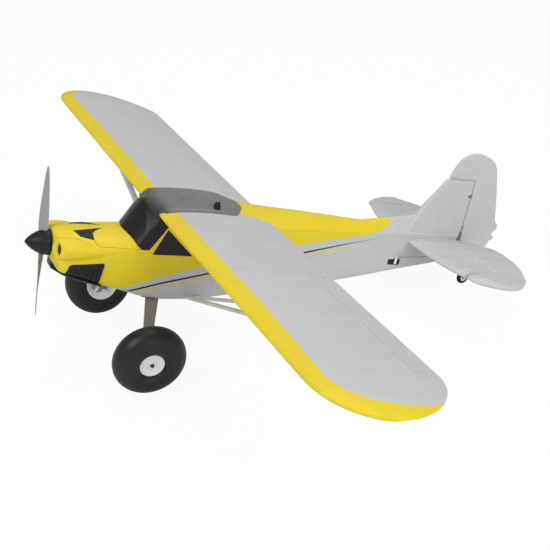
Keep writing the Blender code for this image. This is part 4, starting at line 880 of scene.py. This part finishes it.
# Rudder hinges: small plates let into the hinge line, and a wedge at its foot
hinges = {"y": 713.0, "z": (63.0, -8.0), "tall": 7.0, "reach": 5.0,
          "rings": ((-4.5, 0.9), (-4.2, 1.0), (4.2, 1.0), (4.5, 0.9))}
wedge = {"outline": [(704.5, -36.0), (711.5, -18.0), (715.2, -16.5), (716.2, -36.0)], "half": 9.2}
plate = roundedBox((-hinges["reach"], hinges["reach"]), (-0.5 * hinges["tall"], 0.5 * hinges["tall"]), 1.4)
grid = np.stack([np.concatenate([slices(plate * k + (hinges["y"], z), (x,)) for x, k in hinges["rings"]])
              for z in hinges["z"]])
finishPiece(skins("rudderHinges", grid), "airframe", hingeGrey, "smoke")
flat = evenPath(roundedPath(wedge["outline"], 1.0), 40)
finishPiece(skin("hingeWedge", slices(flat, (-wedge["half"], wedge["half"]))), "airframe", hingeGrey, "smoke")
print("tail made")

# Struts: streamlined ovals with flattened ends
strut = {"root": (58.6, 93.0, -155.5), "wide": 7.0, "thick": 3.4, "seat": 0.4,
         "ends": (("front", 452.0, 55.0, -8.5), ("rear", 415.0, 150.0, 8.5))}
t = np.concatenate([np.linspace(0, 0.06, 8), np.linspace(0.1, 0.9, 17), np.linspace(0.94, 1, 8)])
full = np.clip(np.minimum(t, 1 - t) / 0.05, 0, 1)[:, None, None]
wide, thick = strut["wide"] * (1.15 - 0.15 * full), strut["thick"] * (0.55 + 0.45 * full)
turn = circle(24)[:, None]
tear = np.where(np.sin(turn) > 0, 1.2, 0.8) * np.sin(turn)
for end, x, y, shift in strut["ends"]:
    a = np.array(strut["root"]) + (0, shift, 0)
    b = np.array([x, y, wingZ(x, y, False) - strut["seat"]])
    along = (b - a) / np.linalg.norm(b - a)
    fore = np.array([0, 1.0, 0]) - along * along[1]
    fore = fore / np.linalg.norm(fore)
    centre = a + (b - a) * t[:, None, None]
    grid = centre + wide * tear * fore + thick * np.cos(turn) * np.cross(along, fore)
    pair("strut." + end, grid, "airframe", strutGrey, "strut", "strut_%s_" % end)
print("struts made")

# Main wheels: profiles of (distance along the axle, radius), from the middle outwards
wheel = {
    "centre": (165.0, -12.0, -228.5), "camber": math.radians(8.0),
    "tyre": np.array([(15, 23), (18.5, 24), (21.5, 26.2), (24, 30), (25.8, 35), (26.5, 40.5), (25.9, 46),
                      (24.2, 51.5), (21.3, 56.8), (17.2, 61.4), (12.2, 64.9), (6.3, 67.2), (0, 67.9)]),
    "hub": [(-17, 22.8), (-22.5, 26.6), (-26, 31), (-27, 31.4), (-27.2, 30.6), (-25.4, 28.4), (-17.6, 20.4),
            (-15.5, 19.6), (-7, 18), (-6, 16.5), (-6, 8.2), (-7, 7.2), (-15.5, 6.4), (-16.2, 5.6),
            (-16.2, 2.9), (14, 2.9), (16.6, 3.2), (17, 4), (17, 7), (16.4, 8), (15.4, 9), (15, 12),
            (15.3, 17), (16.4, 19.4), (18.4, 20.6), (18.9, 21.6), (18.4, 22.8)],
    "spokes": 6, "spoke": np.array([(6, -2.4), (21, -1.6), (21, 1.6), (6, 2.4)]), "spokeDepth": (-19.0, -5.5),
    "nut": [(18.2, 1), (18.2, 3.6), (20.4, 3.6), (21, 3), (21, 1)],
    "pin": [(-33, 1.2), (-32.6, 2.4), (-29.4, 4.6), (-26.4, 4.6), (-26.2, 2.4), (19, 2.4), (19.5, 2)]}
axle = np.array([math.cos(wheel["camber"]), 0, -math.sin(wheel["camber"])])
k = np.arange(len(wheel["tyre"]))
t = np.linspace(0, k[-1], 37)
half = np.stack([smoothCurve(k, wheel["tyre"][:, i], t) for i in (0, 1)], axis=1)
tyreRound = np.vstack([half, half[-2::-1] * (-1, 1)])
for side, tag in sides:
    at = (np.array(wheel["centre"]) * (side, 1, 1), axle * (side, 1, 1))
    piece = lathe("tyre." + tag, tyreRound, *at, 112, loop=True, sharp=60.0)
    finishPiece(piece, "wheel_" + tag, rubberBlack, "rubber", "tyre_" + tag)
    piece = lathe("hub." + tag, wheel["hub"], *at, 72, loop=True, sharp=40.0)
    finishPiece(piece, "wheel_" + tag, hubWhite, "white", "hub_" + tag)
    along, first, second = squareTo(at[1])
    turn = circle(wheel["spokes"])[:, None]
    out = np.cos(turn) * first + np.sin(turn) * second
    across = np.cross(np.broadcast_to(along, out.shape), out)
    flat = at[0] + wheel["spoke"][:, :1] * out[:, None] + wheel["spoke"][:, 1:] * across[:, None]
    grid = np.stack([flat + depth * along for depth in wheel["spokeDepth"]], axis=1)
    finishPiece(skins("hubSpokes." + tag, grid), "wheel_" + tag, hubWhite, "white")
    piece = lathe("axleNut." + tag, wheel["nut"], *at, 6, sharp=20.0)
    finishPiece(piece, "airframe", darkScrew, "steel")
    finishPiece(lathe("axlePin." + tag, wheel["pin"], *at, 24), "airframe", steelWire, "steel")

# Gear legs: a strip of sheet bent at two corners, whose rows hold x, y, z and half width
leg = {"top": -159.4, "thick": 3.0, "inside": 30.0, "edge": 0.06, "reach": (5.0, 7.0)}
foot = np.array(wheel["centre"]) - axle * leg["inside"]
rows = np.array([(4, 20.0, leg["top"], 13.0), (50, 19.6, leg["top"], 13.0),
                 (foot[0] - 2.5, -8.0, foot[2] + 9.0, 8.6), (foot[0] + 0.6, -11.0, foot[2] - 7.0, 8.0)])


# Place on the way from one row to another, a length away from the first
def alongRows(start, end, length):
    return start + (end - start) * length / np.linalg.norm((end - start)[:3])


t = np.linspace(0, 1, 9)[:, None]
corners = [bend(alongRows(rows[i], rows[i - 1], reach), rows[i], alongRows(rows[i], rows[i + 1], reach), t)
           for i, reach in zip((1, 2), leg["reach"])]
straight = corners[0][-1] + (corners[1][0] - corners[0][-1]) * np.linspace(0.05, 0.95, 14)[:, None]
path = np.vstack([rows[:1], corners[0], straight, corners[1], rows[3:]])
step = np.gradient(path[:, [0, 2]], axis=0)
step = step / np.linalg.norm(step, axis=1)[:, None]
down = np.stack([step[:, 1], -step[:, 0]], axis=1) * leg["thick"]
section = roundedBox((-1, 1), (0, 1), leg["edge"])
x, z = [path[:, None, i] + section[:, 1] * down[:, k, None] for i, k in ((0, 0), (2, 1))]
grid = np.stack([x, path[:, None, 1] + section[:, 0] * path[:, 3:], z], axis=-1)
pair("gearLeg", grid, "airframe", gearSheet, "gear", "gear_leg_", sharp=40.0)
print("gear made")

# Propeller: two blades whose chord, pitch and thickness change along the radius
prop = {
    "y": -186.7, "radius": 136.0, "turn": math.radians(-10.6), "share": [0, 0.1, 0.25, 0.45, 0.7, 0.9, 1],
    "pitch": [50, 44, 33, 22, 15, 11.5, 10], "thick": [7.5, 6, 4.4, 3.2, 2.4, 1.8, 0.9],
    "chordShare": [0, 0.1, 0.25, 0.45, 0.7, 0.9, 0.98, 1], "chord": [13, 16, 23, 26, 22, 14.5, 8, 3]}
share = np.concatenate([np.linspace(0, 0.9, 30), np.linspace(0.915, 1.0, 14)])[:, None]
chord = smoothCurve(prop["chordShare"], prop["chord"], share)
pitch = np.radians(smoothCurve(prop["share"], prop["pitch"], share))
thick = smoothCurve(prop["share"], prop["thick"], share)
turn = circle(32)
x = 0.5 * chord * np.cos(turn)
y = 0.5 * thick * np.sin(turn) * (0.75 + 0.25 * np.cos(turn)) - 0.05 * chord * np.sin(turn) ** 2
blade = np.stack([x * np.cos(pitch) - y * np.sin(pitch), x * np.sin(pitch) + y * np.cos(pitch),
                  share * prop["radius"] + 0 * x], axis=-1)
both = np.stack([blade, blade * (-1, 1, -1)])
c, s = math.cos(prop["turn"]), math.sin(prop["turn"])
x, y, z = np.moveaxis(both, -1, 0)
grid = np.stack([x * c + z * s, y + prop["y"], z * c - x * s + thrustLine], axis=-1)
piece = skins("propellerBlades", grid, sharp=60.0)
finishPiece(piece, "propeller", propGrey, "propgrey", "propeller")

# Spinner: a back plate and a pointed dome
spinner = {"base": -173.4, "tip": -218.2, "radius": 23.4, "domeFrom": 4.0, "point": 0.3,
           "plate": [(0.0, 8.0), (0.0, 22.6), (0.4, 23.3), (2.8, 23.4), (3.1, 22.9), (3.5, 22.9)]}
t = np.sin(np.linspace(0, np.pi / 2, 28))
length = spinner["base"] - spinner["tip"] - spinner["domeFrom"]
dome = np.stack([spinner["domeFrom"] + length * t, spinner["radius"] * (1 - t ** 1.8) ** 0.82], axis=1)
dome[-1, 1] = spinner["point"]
profile = np.vstack([spinner["plate"], dome])
piece = lathe("spinner", profile, (0, spinner["base"], thrustLine), (0, -1, 0), 80, sharp=30.0)
finishPiece(piece, "propeller", matteBlack, "black", "spinner")
print("propeller made")

# Tail wheel on its bent wire
tailWheel = {
    "centre": (0.0, 760.4, -126.7), "ring": 10.0, "wide": 5.0, "tall": 4.0, "wire": 1.5, "bend": 5.0,
    "hub": [(-4.2, 1.9), (-4.2, 2.8), (-2.8, 3.2), (-2.4, 5.2), (-4.4, 6.2), (-4.4, 7.2), (4.4, 7.2),
            (4.4, 6.2), (2.4, 5.2), (2.8, 3.2), (4.2, 2.8), (4.2, 1.9)],
    "path": [(0, 721, -66.4), (0, 721, -88), (9, 733, -98), (9, 760.4, -126.7), (-4.8, 760.4, -126.7)]}
turn = circle(24)
tube = np.stack([tailWheel["wide"] * np.sin(turn), tailWheel["ring"] + tailWheel["tall"] * np.cos(turn)]).T
piece = lathe("tailTyre", tube, tailWheel["centre"], (1, 0, 0), 56, loop=True)
finishPiece(piece, "tail_wheel", rubberBlack, "rubber", "tail_tyre")
piece = lathe("tailHub", tailWheel["hub"], tailWheel["centre"], (1, 0, 0), 48, loop=True)
finishPiece(piece, "tail_wheel", hubWhite, "white", "tail_hub")
bends = roundedPath(tailWheel["path"], tailWheel["bend"], 6)[6:24]  # the three inner corners
path = np.vstack([tailWheel["path"][:1], bends, tailWheel["path"][-1:]])
finishPiece(wire("tailWire", path, tailWheel["wire"]), "rudder", steelWire, "steel", "tail_wire")

# Front lug of the elevator's servo, beyond its arm
lug = {"x": (12.0, 23.2), "y": (554.5, 566.0), "z": (-91.5, -79.5), "edge": 0.6, "shrink": 0.93}
face = roundedBox(lug["y"], lug["z"], 1.0)
small = face.mean(axis=0) + (face - face.mean(axis=0)) * lug["shrink"]
grid = np.concatenate([slices(face, (lug["x"][0], lug["x"][1] - lug["edge"])), slices(small, (lug["x"][1],))])
finishPiece(skin("servoLug", grid), "airframe", matteBlack, "black")

# Carried-over pieces keep their solids and get finishes
carried = {
    "gear_plate": matteBlack, "tail_bracket": matteBlack, "motor_mount": matteBlack, "receiver": matteBlack,
    "speed_control": matteBlack, "motor_stator": steelWire, "motor_bell": darkScrew, "battery": wrapBlue,
    "wing_spar": carbonTube, "elevator_joiner": steelWire}
for tag in ("elevator", "rudder", "aileron_left", "aileron_right"):
    carried.update({"servo_" + tag: matteBlack, "arm_" + tag: hubWhite, "horn_" + tag: matteBlack,
                    "pushrod_" + tag: steelWire})
for name, look in carried.items():
    nodes[name].data.materials.clear()
    nodes[name].data.materials.append(look)
print("carried pieces finished")

# Floor: pale, and nearly white to the camera, so that only the soft shadow shows
floor = {"half": 30.0, "colour": (0.9, 0.9, 0.9, 1), "rough": 0.9, "glow": 1.0, "share": 0.93}
floorLook = bpy.data.materials.new("floor")
floorLook.use_nodes = True
tree = floorLook.node_tree.nodes
plain = join(tree["Principled BSDF"], {"Base Color": floor["colour"], "Roughness": floor["rough"]})
glow = join(tree.new("ShaderNodeEmission"), {"Strength": floor["glow"]})
seen = tree.new("ShaderNodeLightPath").outputs["Is Camera Ray"]
mix = join(tree.new("ShaderNodeMixShader"), {
    "Fac": arithmetic(tree, 'MULTIPLY', seen, floor["share"]), 1: plain.outputs[0], 2: glow.outputs[0]})
join(tree["Material Output"], {"Surface": mix.outputs[0]})
floorMesh = bpy.data.meshes.new("floor")
corners = np.array([(-1, -1, 0), (1, -1, 0), (1, 1, 0), (-1, 1, 0)]) * floor["half"]
floorMesh.from_pydata(corners.tolist(), [], [(0, 1, 2, 3)])
floorMesh.materials.append(floorLook)
floorPlane = bpy.data.objects.new("floor", floorMesh)
bpy.context.scene.collection.objects.link(floorPlane)

# Studio world: white where it is seen, softer as a light
studio = {"light": 0.42, "seen": 1.0}
world = bpy.data.worlds.new("studio")
bpy.context.scene.world = world
world.use_nodes = True
tree = world.node_tree.nodes
rays = tree.new("ShaderNodeLightPath").outputs
seen = arithmetic(tree, 'MAXIMUM', rays["Is Camera Ray"], rays["Is Transmission Ray"])
levels = {"Value": seen, "To Min": studio["light"], "To Max": studio["seen"]}
strength = join(tree.new("ShaderNodeMapRange"), levels).outputs["Result"]
join(tree["Background"], {"Color": (1, 1, 1, 1), "Strength": strength})


# Square area lamp that faces the airplane's middle
def lamp(name, place, size, power, aim=(0, 0, 0.2)):
    data = bpy.data.lights.new(name, 'AREA')
    data.energy, data.size = power, size
    light = bpy.data.objects.new(name, data)
    light.location = place
    light.rotation_euler = (Vector(aim) - Vector(place)).to_track_quat('-Z', 'Y').to_euler()
    bpy.context.scene.collection.objects.link(light)


lamp("key", (1.2, -2.6, 2.8), 1.8, 52.0)
lamp("fill", (3.2, 0.8, 1.6), 2.0, 42.0)
lamp("top", (-0.6, 0.8, 3.2), 2.2, 30.0)

# Camera in body millimetres, with its focal length in pixels of the frame
view = {"place": (1702.2204, -683.0618, 638.7809), "along": (-0.8072670, 0.4633636, -0.3655326),
        "across": (0.4123471, 0.8859260, 0.2123794), "focal": 1050.0, "frame": 550.0, "sensor": 36.0}
cameraData = bpy.data.cameras.new("camera")
cameraData.sensor_width = view["sensor"]
cameraData.lens = view["sensor"] * view["focal"] / view["frame"]
cameraData.clip_end = 100.0
camera = bpy.data.objects.new("camera", cameraData)
bpy.context.scene.collection.objects.link(camera)
along, across = [toRow(np.array(view[k]) * 1000.0) - toRow(np.zeros(3)) for k in ("along", "across")]
turnTo = Matrix([list(across), list(np.cross(across, along)), list(-along)]).transposed()
camera.matrix_world = Matrix.Translation(Vector(toRow(view["place"]))) @ turnTo.to_4x4()
bpy.context.scene.camera = camera
bpy.context.scene.view_settings.view_transform = 'Standard'
print("stage set")
